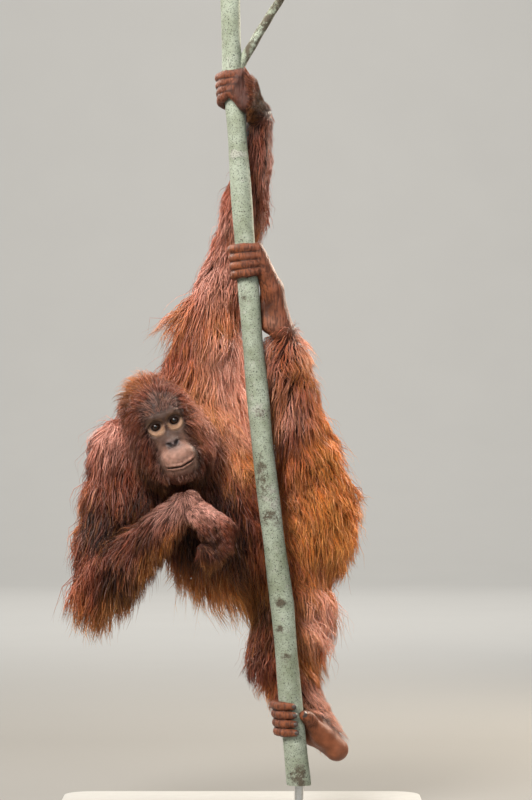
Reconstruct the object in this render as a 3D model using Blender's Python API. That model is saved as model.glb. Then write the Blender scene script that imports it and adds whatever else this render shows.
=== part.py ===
"""A young orangutan climbing a thin sapling, as a still, life-size display model.

Metres, +Z up. The animal faces -Y, with its own left side at +X. The origin is on the underside of
the display base, plumb below the middle of the sapling.
"""

import math
import random

import bmesh
import bpy
import numpy as np
import openvdb
from mathutils import Matrix, Vector
from mathutils.bvhtree import BVHTree

# Display base and rod
BASE_SIZE = (0.74, 0.56, 0.025)
BASE_CENTRE = (-0.05, 0.06)
BASE_CORNER = 0.06
BASE_EDGE = 0.003
ROD_RADIUS = 0.009

# Gap that touching pieces keep
GAP = 0.0004
GRIP_GAP = 0.0007

# Sapling: its centre line from the cut foot to the cut top, and its radius at both ends
SAPLING_LINE = (
    (0.0660, 0.0, 0.075),
    (0.0480, 0.0, 0.253),
    (0.0328, 0.0, 0.431),
    (0.0100, 0.0, 0.609),
    (-0.0060, 0.0, 0.741),
    (-0.0266, 0.0, 0.963),
    (-0.0450, 0.0, 1.193),
    (-0.0590, 0.0, 1.393),
    (-0.0680, 0.0, 1.501),
    (-0.0725, 0.0, 1.679),
)
SAPLING_FOOT_RADIUS = 0.0240
SAPLING_TOP_RADIUS = 0.0190
SAPLING_SIDES = 12
SAPLING_RINGS = 10
BRANCH = (
    (-0.0660, 0.0000, 1.492, 0.0100),
    (-0.0460, 0.0030, 1.524, 0.0098),
    (-0.0050, 0.0060, 1.594, 0.0090),
    (0.0340, 0.0060, 1.656, 0.0080),
)
BRANCH_SIDES = 8

# Joints of the skeleton
LEFT_SHOULDER = (-0.132, 0.135, 0.901)
LEFT_ELBOW = (-0.060, 0.108, 1.165)
LEFT_WRIST = (-0.012, 0.034, 1.411)
RIGHT_SHOULDER = (-0.288, 0.125, 0.735)
RIGHT_ELBOW = (-0.332, 0.060, 0.490)
RIGHT_WRIST = (-0.158, -0.075, 0.639)
LEFT_HIP = (0.100, 0.112, 0.598)
LEFT_KNEE = (0.062, 0.058, 0.800)
LEFT_ANKLE = (0.034, 0.020, 0.982)
RIGHT_HIP = (0.048, 0.130, 0.509)
RIGHT_KNEE = (0.022, 0.088, 0.317)
RIGHT_ANKLE = (0.124, 0.050, 0.171)
NECK_BASE = (-0.214, 0.135, 0.821)
CHEST = (-0.162, 0.135, 0.763)
BELLY = (-0.096, 0.118, 0.632)
LOWER_BELLY = (-0.012, 0.124, 0.580)
PELVIS = (0.066, 0.122, 0.556)
RIGHT_KNUCKLES = (-0.078, -0.087, 0.594)
LEFT_KNUCKLES = (-0.034, -0.010, 1.466)

# The head: the point between the eyes, and how it is tilted, turned and nodded
EYE_MIDDLE = (-0.200, -0.072, 0.798)
HEAD_TILT = math.radians(20.5)
HEAD_TURN = math.radians(4.0)
HEAD_NOD = math.radians(5.0)
EYE_HALF_SPACING = 0.0195
EYE_RADIUS = 0.0105
EYE_DEPTH = 0.0095
LID_THICKNESS = 0.0024
LID_OPENING = (0.0080, 0.0046)

# How far the core of the coat stands off the flesh
CORE = 0.006

# Grid steps for the shapes that are carved out of distance fields
BODY_STEP = 0.0075
HEAD_STEP = 0.0018
HAND_STEP = 0.0024
EAR_STEP = 0.0014

# Faces kept in each carved shape
BODY_FACES = 2500
HEAD_FACES = 2250
HAND_FACES = 360
EAR_FACES = 150

TORSO_BLEND = 0.040
BLEND = 0.030
ELBOW_BLEND = 0.015
LEAST_BLEND = 0.0005
FINEST_EDGE = 0.00012
THINNEST_FACE = 0.00001
SEED = 12

# Coat of each node: number of locks, their length and width, how far they lift off, and their lie
COATS = {
    "neck": (5, 0.045, 0.036, 0.20, (-0.20, 0.50, -0.8)),
    "head": (21, 0.070, 0.037, 0.40, (0.0, 0.0, -0.55)),
    "arm_upper_left": (12, 0.110, 0.042, 0.40, (-0.45, 0.10, -1.0)),
    "forearm_left": (11, 0.095, 0.036, 0.25, (-0.12, 0.10, -1.0)),
    "arm_upper_right": (13, 0.120, 0.044, 0.30, (-0.20, 0.05, -1.0)),
    "forearm_right": (13, 0.115, 0.040, 0.30, (-0.55, 0.15, -1.0)),
    "thigh_left": (11, 0.110, 0.043, 0.45, (0.60, 0.15, -1.0)),
    "shank_left": (11, 0.090, 0.035, 0.50, (0.65, 0.15, -1.0)),
    "thigh_right": (11, 0.110, 0.042, 0.40, (0.45, 0.10, -1.0)),
    "shank_right": (10, 0.085, 0.035, 0.30, (-0.10, 0.10, -1.0)),
    "torso": (46, 0.145, 0.058, 0.35, (0.42, 0.05, -1.0)),
}
SPARE_ROOTS = 2
LOCK_THICKNESS = 0.0065
LOCK_SINK = 0.0060
LOCK_BACK = 0.35
LOCK_SHARES = (0.0, 0.36, 0.70)
LOCK_WIDTHS = (0.80, 1.0, 0.62)
LOCK_STEPS = 10
LOCK_DROOP = 0.45
LOCK_STAND_OFF = (0.0035, 0.020)
LOCK_STAND_OFF_LIFT = 0.4
LOCK_ROOT_LIFT = 0.35
LOCK_HOLD = 0.35
LOCK_HUG = 0.4
LOCK_FREE_BELOW = -0.3
LOCK_VARIATION = 0.15
LOCK_VEER = 0.25
ROOT_TRIES = 40
SHORTEST_LIE = 0.2
SPARE_LIE = (0.3, 0.0, 0.1)
CUT_MARGIN = 0.007
LOCK_TRIES = ((1.0, 0.0), (0.85, 0.25), (0.85, -0.3), (0.7, 0.5), (0.55, -0.5))
LOCK_CLEAR = 0.0008
FACE_MIDDLE = (0.0, -0.050, -0.020)
HAIR_FRONT = 0.040
HAIRLINE = 0.046
FOREHEAD_FRONT = -0.004


def unit(vector):
    vector = np.asarray(vector, float)
    return vector / np.linalg.norm(vector)


def between(start, end, share):
    start = np.asarray(start, float)
    return start + (np.asarray(end, float) - start) * share


def smooth_union(first, second, blend):
    """The lower of two distances, rounded where they are within blend of each other."""
    mix = np.clip(0.5 + 0.5 * (second - first) / blend, 0.0, 1.0)
    return second + (first - second) * mix - blend * mix * (1.0 - mix)


def smooth_cut(solid, cutter, blend):
    return -smooth_union(-solid, cutter, blend)


def chain(points, stations, flatten=None, blend=0.012):
    """Distance to a limb through stations (x, y, z, radius); flatten is a direction and how much thinner."""
    found = None
    for start, end in zip(stations[:-1], stations[1:]):
        span = np.subtract(end[:3], start[:3])
        share = np.clip((points - np.array(start[:3])) @ span / (span @ span), 0.0, 1.0)
        away = points - np.array(start[:3]) - share[:, None] * span
        if flatten is not None:
            axis = unit(flatten[0])
            away = away + ((flatten[1] - 1.0) * (away @ axis))[:, None] * axis
        distance = np.sqrt((away * away).sum(axis=1)) - (start[3] + share * (end[3] - start[3]))
        found = distance if found is None else smooth_union(found, distance, blend)
    return found


def ball(points, centre, radii):
    """Distance, near enough, to an ellipsoid whose axes are those of the points."""
    scaled = (points - np.array(centre)) / np.array(radii)
    length = np.sqrt((scaled * scaled).sum(axis=1))
    return (length - 1.0) * min(radii)


def carve(name, field, low, high, step, faces):
    """A closed mesh of where the field is below zero, reduced to a number of faces."""
    axes = [np.arange(a, b + step, step) for a, b in zip(low, high)]
    flat = np.stack(np.meshgrid(axes[1], axes[2], indexing="ij"), axis=-1).reshape(-1, 2)
    values = np.empty([len(axis) for axis in axes], np.float32)
    for index, x in enumerate(axes[0]):
        points = np.column_stack([np.full(len(flat), x), flat])
        values[index] = field(points).reshape(len(axes[1]), len(axes[2]))
    grid = openvdb.FloatGrid(1.0)
    grid.copyFromArray(values)
    corners, quads = grid.convertToQuads(0.0)
    mesh = bpy.data.meshes.new(name)
    mesh.from_pydata((np.array(corners) * step + np.array(low)).tolist(), [], np.array(quads).tolist())
    obj = bpy.data.objects.new(name, mesh)
    bpy.context.scene.collection.objects.link(obj)
    face_out(mesh)
    thin = obj.modifiers.new("fewer_faces", "DECIMATE")
    thin.ratio = min(1.0, faces / (2.0 * len(quads)))
    settle(obj)
    return obj


def face_out(mesh):
    work = bmesh.new()
    work.from_mesh(mesh)
    bmesh.ops.recalc_face_normals(work, faces=work.faces)
    if work.calc_volume(signed=True) < 0:
        bmesh.ops.reverse_faces(work, faces=work.faces)
    work.to_mesh(mesh)
    work.free()


def settle(obj):
    """Apply the object's modifiers."""
    graph = bpy.context.evaluated_depsgraph_get()
    mesh = bpy.data.meshes.new_from_object(obj.evaluated_get(graph))
    old = obj.data
    obj.modifiers.clear()
    obj.data = mesh
    bpy.data.meshes.remove(old)


def combine(obj, others, operation, solver="EXACT"):
    """One Boolean of an object with a list of others, which are then removed."""
    group = bpy.data.collections.new("others")
    for other in others:
        group.objects.link(other)
        for holder in list(other.users_collection):
            if holder != group:
                holder.objects.unlink(other)
    bpy.context.scene.collection.children.link(group)
    work = obj.modifiers.new("work", "BOOLEAN")
    work.operation = operation
    work.operand_type = "COLLECTION"
    work.collection = group
    work.solver = solver
    settle(obj)
    for other in others:
        bpy.data.objects.remove(other)
    bpy.data.collections.remove(group)


def pieces_of(mesh):
    """The closed surfaces in a mesh, each as a list of its faces' indices, largest first."""
    work = bmesh.new()
    work.from_mesh(mesh)
    work.faces.ensure_lookup_table()
    seen = set()
    found = []
    for face in work.faces:
        if face.index in seen:
            continue
        seen.add(face.index)
        group = []
        queue = [face]
        while queue:
            current = queue.pop()
            group.append(current.index)
            for edge in current.edges:
                for other in edge.link_faces:
                    if other.index not in seen:
                        seen.add(other.index)
                        queue.append(other)
        found.append(group)
    work.free()
    return sorted(found, key=len, reverse=True)


def piece_mesh(mesh, name, faces):
    """A new mesh holding only some of a mesh's faces."""
    work = bmesh.new()
    work.from_mesh(mesh)
    work.faces.ensure_lookup_table()
    kept = set(faces)
    bmesh.ops.delete(work, geom=[f for f in work.faces if f.index not in kept], context="FACES")
    loose = [v for v in work.verts if not v.link_faces]
    bmesh.ops.delete(work, geom=loose, context="VERTS")
    made = bpy.data.meshes.new(name)
    work.to_mesh(made)
    work.free()
    return made


def keep_largest(obj):
    groups = pieces_of(obj.data)
    if len(groups) < 2:
        return
    old = obj.data
    obj.data = piece_mesh(old, obj.name, groups[0])
    bpy.data.meshes.remove(old)


def close_up(mesh):
    """Collapse the edges that a union leaves shorter than the finest detail."""
    work = bmesh.new()
    work.from_mesh(mesh)
    short = [edge for edge in work.edges if edge.calc_length() < FINEST_EDGE]
    bmesh.ops.collapse(work, edges=short)
    bmesh.ops.dissolve_degenerate(work, edges=work.edges, dist=THINNEST_FACE)
    bmesh.ops.triangulate(work, faces=[face for face in work.faces if len(face.verts) > 3])
    work.to_mesh(mesh)
    work.free()


def cut_off(obj, point, normal):
    """Remove what lies beyond a plane, on the side its normal points to, and close the cut."""
    work = bmesh.new()
    work.from_mesh(obj.data)
    geometry = work.verts[:] + work.edges[:] + work.faces[:]
    bmesh.ops.bisect_plane(
        work, geom=geometry, dist=1e-6, plane_co=Vector(point), plane_no=Vector(normal), clear_outer=True
    )
    rim = [edge for edge in work.edges if edge.is_boundary]
    bmesh.ops.holes_fill(work, edges=rim, sides=0)
    bmesh.ops.triangulate(work, faces=[face for face in work.faces if len(face.verts) > 4])
    work.to_mesh(obj.data)
    work.free()


def turned_to(normal):
    """A rotation that takes +Z to a direction."""
    return Vector((0, 0, 1)).rotation_difference(Vector(normal)).to_matrix().to_4x4()


def disc(centre, normal, radius):
    """A thin round cutter, as thick as the gap that parted pieces keep."""
    mesh = bpy.data.meshes.new("disc")
    work = bmesh.new()
    bmesh.ops.create_cone(
        work, cap_ends=True, segments=20, radius1=radius, radius2=radius, depth=GAP,
        matrix=Matrix.Translation(centre) @ turned_to(normal)
    )
    work.to_mesh(mesh)
    work.free()
    return bpy.data.objects.new("disc", mesh)


def tube(name, stations, sides, level_foot=False):
    """A closed tube through stations (x, y, z, radius)."""
    mesh = bpy.data.meshes.new(name)
    work = bmesh.new()
    rings = []
    for index, station in enumerate(stations):
        before = stations[max(index - 1, 0)]
        after = stations[min(index + 1, len(stations) - 1)]
        along = unit(np.subtract(after[:3], before[:3]))
        if level_foot and index == 0:
            along = np.array((0.0, 0.0, 1.0))
        across = unit(np.cross((0.0, 1.0, 0.0), along))
        up = np.cross(along, across)
        ring = []
        for side in range(sides):
            angle = 2 * math.pi * side / sides
            offset = across * math.cos(angle) + up * math.sin(angle)
            ring.append(work.verts.new(np.array(station[:3]) + offset * station[3]))
        rings.append(ring)
    for lower, upper in zip(rings[:-1], rings[1:]):
        for side in range(sides):
            after = (side + 1) % sides
            work.faces.new((lower[side], lower[after], upper[after], upper[side]))
    work.faces.new(rings[0][::-1])
    work.faces.new(rings[-1])
    bmesh.ops.recalc_face_normals(work, faces=work.faces)
    bmesh.ops.triangulate(work, faces=[face for face in work.faces if len(face.verts) == 4])
    work.to_mesh(mesh)
    work.free()
    obj = bpy.data.objects.new(name, mesh)
    bpy.context.scene.collection.objects.link(obj)
    return obj


def sapling_at(height):
    """The sapling's centre and radius at a height."""
    heights = [point[2] for point in SAPLING_LINE]
    x = float(np.interp(height, heights, [point[0] for point in SAPLING_LINE]))
    share = (height - heights[0]) / (heights[-1] - heights[0])
    radius = SAPLING_FOOT_RADIUS + share * (SAPLING_TOP_RADIUS - SAPLING_FOOT_RADIUS)
    return np.array((x, 0.0, height)), radius


def beside_sapling(angle, height, off):
    """A point off the sapling's bark; 0 degrees is its +X side and 90 degrees its front."""
    centre, radius = sapling_at(height)
    turn = math.radians(angle)
    return centre + (radius + off) * np.array((math.cos(turn), -math.sin(turn), 0.0))


def wrapped(start_angle, end_angle, start_height, end_height, radii, count=6):
    """Stations of a finger or toe that lies round the sapling."""
    stations = []
    for index in range(count):
        share = index / (count - 1)
        radius = float(np.interp(share, (0.0, 0.5, 1.0), radii))
        angle = start_angle + (end_angle - start_angle) * share
        height = start_height + (end_height - start_height) * share
        stations.append((*beside_sapling(angle, height, radius * DIGIT_LIFT), radius))
    return stations


def head_axes():
    """The head's own axes in the world: to the viewer's right, away from the viewer, and up."""
    tilt = Matrix.Rotation(-HEAD_TILT, 3, "Y")
    turn = Matrix.Rotation(HEAD_TURN, 3, "Z")
    nod = Matrix.Rotation(HEAD_NOD, 3, "X")
    return np.array(tilt @ turn @ nod)


HEAD_AXES = head_axes()


def in_head(points):
    return (points - np.array(EYE_MIDDLE)) @ HEAD_AXES


def from_head(point):
    return np.array(EYE_MIDDLE) + HEAD_AXES @ np.array(point)


# The limbs' stations: place and flesh radius
UPPER_ARM_RADII = (0.040, 0.037, 0.033, 0.030)
FOREARM_RADII = (0.031, 0.035, 0.027, 0.020)
THIGH_RADII = (0.052, 0.048, 0.040, 0.034)
SHANK_RADII = (0.034, 0.034, 0.026, 0.020)
LIMB_SHARES = (0.0, 0.3, 0.7, 1.0)
WRIST_REACH = 0.03


def limb(start, end, radii, bow=(0.0, 0.0, 0.0)):
    """Stations along a bone, bowed by a small offset at its middle."""
    stations = []
    for share, radius in zip(LIMB_SHARES, radii):
        place = between(start, end, share) + np.array(bow) * math.sin(math.pi * share)
        stations.append((*place, radius + CORE))
    return stations


def carried_on(stations):
    """The same stations, with one more past the far joint."""
    last = np.array(stations[-1][:3])
    further = last + WRIST_REACH * unit(last - np.array(stations[-2][:3]))
    return stations + [(*further, stations[-1][3])]


LIMBS = {
    "arm_upper_left": limb(LEFT_SHOULDER, LEFT_ELBOW, UPPER_ARM_RADII, (-0.008, 0.0, 0.0)),
    "forearm_left": limb(LEFT_ELBOW, LEFT_WRIST, FOREARM_RADII, (0.004, 0.0, 0.0)),
    "arm_upper_right": limb(RIGHT_SHOULDER, RIGHT_ELBOW, UPPER_ARM_RADII, (-0.014, 0.0, 0.0)),
    "forearm_right": limb(RIGHT_ELBOW, RIGHT_WRIST, FOREARM_RADII, (0.0, 0.0, -0.008)),
    "thigh_left": limb(LEFT_HIP, LEFT_KNEE, THIGH_RADII, (0.010, 0.0, 0.0)),
    "shank_left": limb(LEFT_KNEE, LEFT_ANKLE, SHANK_RADII, (0.004, 0.010, 0.0)),
    "thigh_right": limb(RIGHT_HIP, RIGHT_KNEE, THIGH_RADII, (0.014, 0.0, 0.0)),
    "shank_right": limb(RIGHT_KNEE, RIGHT_ANKLE, SHANK_RADII, (0.0, 0.010, -0.006)),
}
TORSO = (
    (*NECK_BASE, 0.055),
    (*CHEST, 0.100),
    (*BELLY, 0.112),
    (*LOWER_BELLY, 0.082),
    (*PELVIS, 0.072),
)
TORSO_FLATTEN = ((0.0, 1.0, 0.0), 1.25)
SHOULDER_BALLS = ((LEFT_SHOULDER, 0.052), (RIGHT_SHOULDER, 0.054))
SKULL_BASE = tuple(from_head((0.0, 0.060, -0.015)))
NECK = (
    (*NECK_BASE, 0.055),
    (*between(NECK_BASE, SKULL_BASE, 0.6), 0.050),
    (*SKULL_BASE, 0.044),
)
JOINT_BLEND_NEAR = 0.075
JOINT_BLEND_FAR = 0.135


def body_field(points):
    """Distance to the body's core without its head, hands and feet."""
    body = chain(points, TORSO, TORSO_FLATTEN, TORSO_BLEND)
    for centre, radius in SHOULDER_BALLS:
        body = smooth_union(body, ball(points, centre, (radius,) * 3), BLEND)
    body = smooth_union(body, chain(points, NECK), BLEND)
    for upper, lower, root in (
        ("arm_upper_left", "forearm_left", LEFT_SHOULDER),
        ("arm_upper_right", "forearm_right", RIGHT_SHOULDER),
        ("thigh_left", "shank_left", LEFT_HIP),
        ("thigh_right", "shank_right", RIGHT_HIP),
    ):
        whole = smooth_union(chain(points, LIMBS[upper]), chain(points, carried_on(LIMBS[lower])), ELBOW_BLEND)
        away = np.sqrt(((points - np.array(root)) ** 2).sum(axis=1))
        near = np.clip((JOINT_BLEND_FAR - away) / (JOINT_BLEND_FAR - JOINT_BLEND_NEAR), 0.0, 1.0)
        body = smooth_union(body, whole, LEAST_BLEND + BLEND * near)
    return body


# Planes that part the body: place, normal and the reach of the cut
def parting(start, end, share, radius, normal=None):
    place = between(start, end, share)
    return place, unit(np.subtract(end, start)) if normal is None else unit(normal), radius


def joint_parting(before, joint, after, radius):
    """A cut across a bent joint, square to the mean of its two bones."""
    mean = unit(np.subtract(joint, before)) + unit(np.subtract(after, joint))
    return np.array(joint), unit(mean), radius


NECK_NORMAL = (-0.15, -0.82, 0.50)
HEAD_CUT = (tuple(from_head((0.0, 0.100, -0.015))), NECK_NORMAL)
PARTINGS = {
    "neck": (between(NECK_BASE, SKULL_BASE, 0.56), unit(NECK_NORMAL), 0.088),
    "head": (np.array(HEAD_CUT[0]), unit(HEAD_CUT[1]), 0.090),
    "shoulder_left": parting(LEFT_SHOULDER, LEFT_ELBOW, 0.14, 0.062),
    "elbow_left": joint_parting(LEFT_SHOULDER, LEFT_ELBOW, LEFT_WRIST, 0.060),
    "wrist_left": joint_parting(LEFT_ELBOW, LEFT_WRIST, LEFT_KNUCKLES, 0.042),
    "shoulder_right": parting(RIGHT_SHOULDER, RIGHT_ELBOW, 0.28, 0.066),
    "elbow_right": joint_parting(RIGHT_SHOULDER, RIGHT_ELBOW, RIGHT_WRIST, 0.094),
    "wrist_right": joint_parting(RIGHT_ELBOW, RIGHT_WRIST, RIGHT_KNUCKLES, 0.042),
    "hip_left": parting(LEFT_HIP, LEFT_KNEE, 0.48, 0.068),
    "knee_left": joint_parting(LEFT_HIP, LEFT_KNEE, LEFT_ANKLE, 0.058),
    "ankle_left": parting(LEFT_KNEE, LEFT_ANKLE, 1.0, 0.040),
    "hip_right": parting(RIGHT_HIP, RIGHT_KNEE, 0.30, 0.095),
    "knee_right": joint_parting(RIGHT_HIP, RIGHT_KNEE, RIGHT_ANKLE, 0.060),
    "ankle_right": parting(RIGHT_KNEE, RIGHT_ANKLE, 1.0, 0.042),
}
BODY_LOW = (-0.46, -0.16, 0.10)
BODY_HIGH = (0.26, 0.28, 1.48)


def middle_of(stations):
    return between(stations[0][:3], stations[-1][:3], 0.5)


def body_parts():
    """The body's core, parted at its joints: a dictionary of meshes by node name."""
    whole = carve("body", body_field, BODY_LOW, BODY_HIGH, BODY_STEP, BODY_FACES)
    combine(whole, [disc(*cut) for cut in PARTINGS.values()], "DIFFERENCE")
    labels = {name: middle_of(stations) for name, stations in LIMBS.items()}
    labels["torso"] = between(CHEST, LOWER_BELLY, 0.5)
    labels["neck"] = between(PARTINGS["neck"][0], PARTINGS["head"][0], 0.5)
    beyond = {
        "past_head": SKULL_BASE,
        "past_wrist_left": carried_on(LIMBS["forearm_left"])[-1][:3],
        "past_wrist_right": carried_on(LIMBS["forearm_right"])[-1][:3],
        "past_ankle_left": carried_on(LIMBS["shank_left"])[-1][:3],
        "past_ankle_right": carried_on(LIMBS["shank_right"])[-1][:3],
    }
    found = {}
    for faces in pieces_of(whole.data):
        mesh = piece_mesh(whole.data, "piece", faces)
        places = np.array([vertex.co[:] for vertex in mesh.vertices])
        middle = (places.max(axis=0) + places.min(axis=0)) / 2
        every = {**labels, **beyond}
        name = min(every, key=lambda key: np.linalg.norm(np.array(every[key]) - middle))
        if name in beyond or name in found:
            continue
        mesh.name = name
        obj = bpy.data.objects.new(name, mesh)
        bpy.context.scene.collection.objects.link(obj)
        found[name] = obj
    bpy.data.objects.remove(whole)
    return found


# The head's shapes, in its own axes: the viewer's right, away from the viewer, and up
SKULL = ((0.0, 0.064, 0.020), (0.055, 0.066, 0.056))
FOREHEAD = ((0.0, 0.032, 0.030), (0.044, 0.036, 0.034))
MIDFACE = ((0.0, 0.014, -0.040), (0.037, 0.040, 0.044))
MUZZLE = ((0.0, -0.014, -0.074), (0.040, 0.037, 0.033))
UPPER_LIP = ((0.0, -0.030, -0.067), (0.033, 0.026, 0.021))
LOWER_LIP = ((0.0, -0.022, -0.098), (0.028, 0.027, 0.016))
CHIN = ((0.0, -0.006, -0.104), (0.030, 0.030, 0.020))
NOSE_PAD = ((0.0, -0.024, -0.040), (0.0125, 0.010, 0.0085))
BROW = ((-0.034, 0.012, 0.010, 0.009), (-0.018, 0.001, 0.016, 0.0085), (0.0, 0.000, 0.012, 0.0075),
        (0.018, 0.001, 0.016, 0.0085), (0.034, 0.012, 0.010, 0.009))
NOSE_BRIDGE = ((0.0, 0.002, 0.006, 0.007), (0.0, -0.006, -0.016, 0.0065), (0.0, -0.020, -0.038, 0.009))
CHEEK = ((0.030, 0.010, -0.014, 0.012), (0.044, 0.030, -0.030, 0.016), (0.044, 0.048, -0.050, 0.020))
JAW = ((0.012, -0.002, -0.100, 0.018), (0.034, 0.030, -0.080, 0.022), (0.042, 0.055, -0.045, 0.024))
SOCKET = ((0.0195, -0.008, -0.001), (0.0135, 0.012, 0.0105))
NOSTRIL = ((0.0058, -0.033, -0.0405), (0.0026, 0.0060, 0.0036))
MOUTH_LEVEL = -0.0855
MOUTH_HALF_WIDTH = 0.040
MOUTH_RISE = 0.0035
MOUTH_GROOVE = 0.0016
MOUTH_DEPTH = 0.0055
MOUTH_CORNER = 0.012
MOUTH_BACK = 0.014
LIP_PLACE = 0.0045
LIP_SPREAD = 0.0032
LIP_SWELL = 0.0022
LIP_BACK = 0.018
HEAD_BLEND = 0.016
FACE_BLEND = 0.009
SOCKET_BLEND = 0.010
LID_BLEND = 0.004
NOSTRIL_BLEND = 0.002
GROOVE_BLEND = 0.0015
LID_SLIT_DEPTH = 0.010
HEAD_LOW = (-0.31, -0.135, 0.650)
HEAD_HIGH = (-0.10, 0.12, 0.930)


def mirrored(stations):
    return [(-x, y, z, radius) for x, y, z, radius in stations]


def mirrored_form(form):
    centre, radii = form
    return (-centre[0], centre[1], centre[2]), radii


def mouth_height(local):
    """How high the line between the lips is, for points in the head's axes."""
    return MOUTH_LEVEL + MOUTH_RISE * (local[:, 0] / MOUTH_HALF_WIDTH) ** 2


def head_field(points):
    """Distance to the head's core, with its lids, lips and nostrils."""
    local = in_head(points)
    head = ball(local, *SKULL)
    for form in (FOREHEAD, MIDFACE):
        head = smooth_union(head, ball(local, *form), HEAD_BLEND)
    for stations in (JAW, CHEEK):
        head = smooth_union(head, chain(local, stations), HEAD_BLEND)
        head = smooth_union(head, chain(local, mirrored(stations)), HEAD_BLEND)
    head = smooth_union(head, chain(points, NECK), HEAD_BLEND)
    for form in (CHIN, MUZZLE):
        head = smooth_union(head, ball(local, *form), HEAD_BLEND)
    for form in (UPPER_LIP, LOWER_LIP, NOSE_PAD):
        head = smooth_union(head, ball(local, *form), FACE_BLEND)
    for stations in (BROW, NOSE_BRIDGE):
        head = smooth_union(head, chain(local, stations), FACE_BLEND)
    for form in (SOCKET, mirrored_form(SOCKET)):
        head = smooth_cut(head, ball(local, *form), SOCKET_BLEND)
    gap = np.abs(local[:, 2] - mouth_height(local))
    in_mouth = np.clip((MOUTH_HALF_WIDTH - np.abs(local[:, 0])) / MOUTH_CORNER, 0.0, 1.0)
    front = np.clip((LIP_BACK - local[:, 1]) / MOUTH_CORNER, 0.0, 1.0)
    lips = np.exp(-(((gap - LIP_PLACE) / LIP_SPREAD) ** 2)) * LIP_SWELL
    head = head - lips * in_mouth * front
    groove = np.maximum(gap - MOUTH_GROOVE, -(head + MOUTH_DEPTH))
    groove = np.maximum(groove, np.maximum(np.abs(local[:, 0]) - MOUTH_HALF_WIDTH, local[:, 1] - MOUTH_BACK))
    head = smooth_cut(head, groove, GROOVE_BLEND)
    for form in (NOSTRIL, mirrored_form(NOSTRIL)):
        head = smooth_cut(head, ball(local, *form), NOSTRIL_BLEND)
    for side in (-1.0, 1.0):
        eye = (side * EYE_HALF_SPACING, EYE_DEPTH, 0.0)
        lid = ball(local, eye, (EYE_RADIUS + LID_THICKNESS,) * 3)
        head = smooth_union(head, lid, LID_BLEND)
        head = np.maximum(head, -ball(local, eye, (EYE_RADIUS + GAP,) * 3))
        opening = (eye[0], eye[1] - EYE_RADIUS, 0.0)
        head = np.maximum(head, -ball(local, opening, (LID_OPENING[0], LID_SLIT_DEPTH, LID_OPENING[1])))
    return head


def head_part():
    head = carve("head", head_field, HEAD_LOW, HEAD_HIGH, HEAD_STEP, HEAD_FACES)
    point, normal = HEAD_CUT
    place = np.array(point) + unit(normal) * GAP
    cut_off(head, place, -unit(normal))
    keep_largest(head)
    for side in (-1.0, 1.0):
        socket = eye_part("socket", side)
        cut_clear(head, socket)
        bpy.data.objects.remove(socket)
    return head


def eye_part(name, side):
    mesh = bpy.data.meshes.new(name)
    work = bmesh.new()
    centre = from_head((side * EYE_HALF_SPACING, EYE_DEPTH, 0.0))
    bmesh.ops.create_icosphere(work, subdivisions=2, radius=EYE_RADIUS, matrix=Matrix.Translation(centre))
    work.to_mesh(mesh)
    work.free()
    obj = bpy.data.objects.new(name, mesh)
    bpy.context.scene.collection.objects.link(obj)
    return obj


# Ears: where the cup stands on the head, its half sizes and its wall
EAR_PLACE = (0.0595, 0.052, -0.004)
EAR_RADII = (0.0060, 0.0120, 0.0170)
EAR_HOLLOW = (0.0052, 0.0085, 0.0125)
EAR_HOLLOW_PLACE = (0.0645, 0.0505, -0.003)
EAR_BLEND = 0.0012
EAR_REACH = 0.026


def ear_part(name, side, head):
    """One ear's cup, open to the side and a little forward, cut clear of the head."""
    def field(points):
        local = in_head(points)
        local[:, 0] *= side
        ear = ball(local, EAR_PLACE, EAR_RADII)
        return smooth_cut(ear, ball(local, EAR_HOLLOW_PLACE, EAR_HOLLOW), EAR_BLEND)

    centre = from_head((side * EAR_PLACE[0], EAR_PLACE[1], EAR_PLACE[2]))
    ear = carve(name, field, centre - EAR_REACH, centre + EAR_REACH, EAR_STEP, EAR_FACES)
    cut_clear(ear, head)
    return ear


def cut_clear(obj, other):
    """Take from an object what is inside another or within the gap of it."""
    shell = bpy.data.objects.new("shell", other.data.copy())
    bpy.context.scene.collection.objects.link(shell)
    swell = shell.modifiers.new("swell", "DISPLACE")
    swell.strength = GAP
    swell.mid_level = 0.0
    settle(shell)
    combine(obj, [shell], "DIFFERENCE")
    keep_largest(obj)


# Hands and feet. Angles go round the sapling, from its +X side towards its front, in degrees
DIGITS = 4
FINGER_SPACING = 0.0182
TOE_SPACING = 0.0174
FINGER_RADII = (0.0096, 0.0090, 0.0072)
TOE_RADII = (0.0092, 0.0086, 0.0070)
KNUCKLE_RADIUS = 0.0120
DIGIT_LIFT = 0.94
DIGIT_BEND = 0.003
DIGIT_BLEND = 0.0025
PALM_BLEND = 0.010
LIMB_END_RADIUS = 0.030
GRIPS = {
    "hand_left": {
        "top": 1.482, "spacing": FINGER_SPACING, "off": 0.0135, "radii": FINGER_RADII,
        "angle": 18.0, "fan": -6.0, "lead": 2.0, "end_angle": 215.0, "drop": 0.032, "drop_fan": -0.004,
    },
    "foot_left": {
        "top": 1.153, "spacing": TOE_SPACING, "off": 0.0130, "radii": TOE_RADII,
        "angle": 22.0, "fan": -5.0, "lead": 2.0, "end_angle": 200.0, "drop": 0.008, "drop_fan": 0.0,
    },
    "foot_right": {
        "top": 0.236, "spacing": TOE_SPACING, "off": 0.0125, "radii": TOE_RADII,
        "angle": 240.0, "fan": 4.0, "lead": -2.0, "end_angle": 84.0, "drop": 0.002, "drop_fan": 0.0,
    },
}
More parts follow.
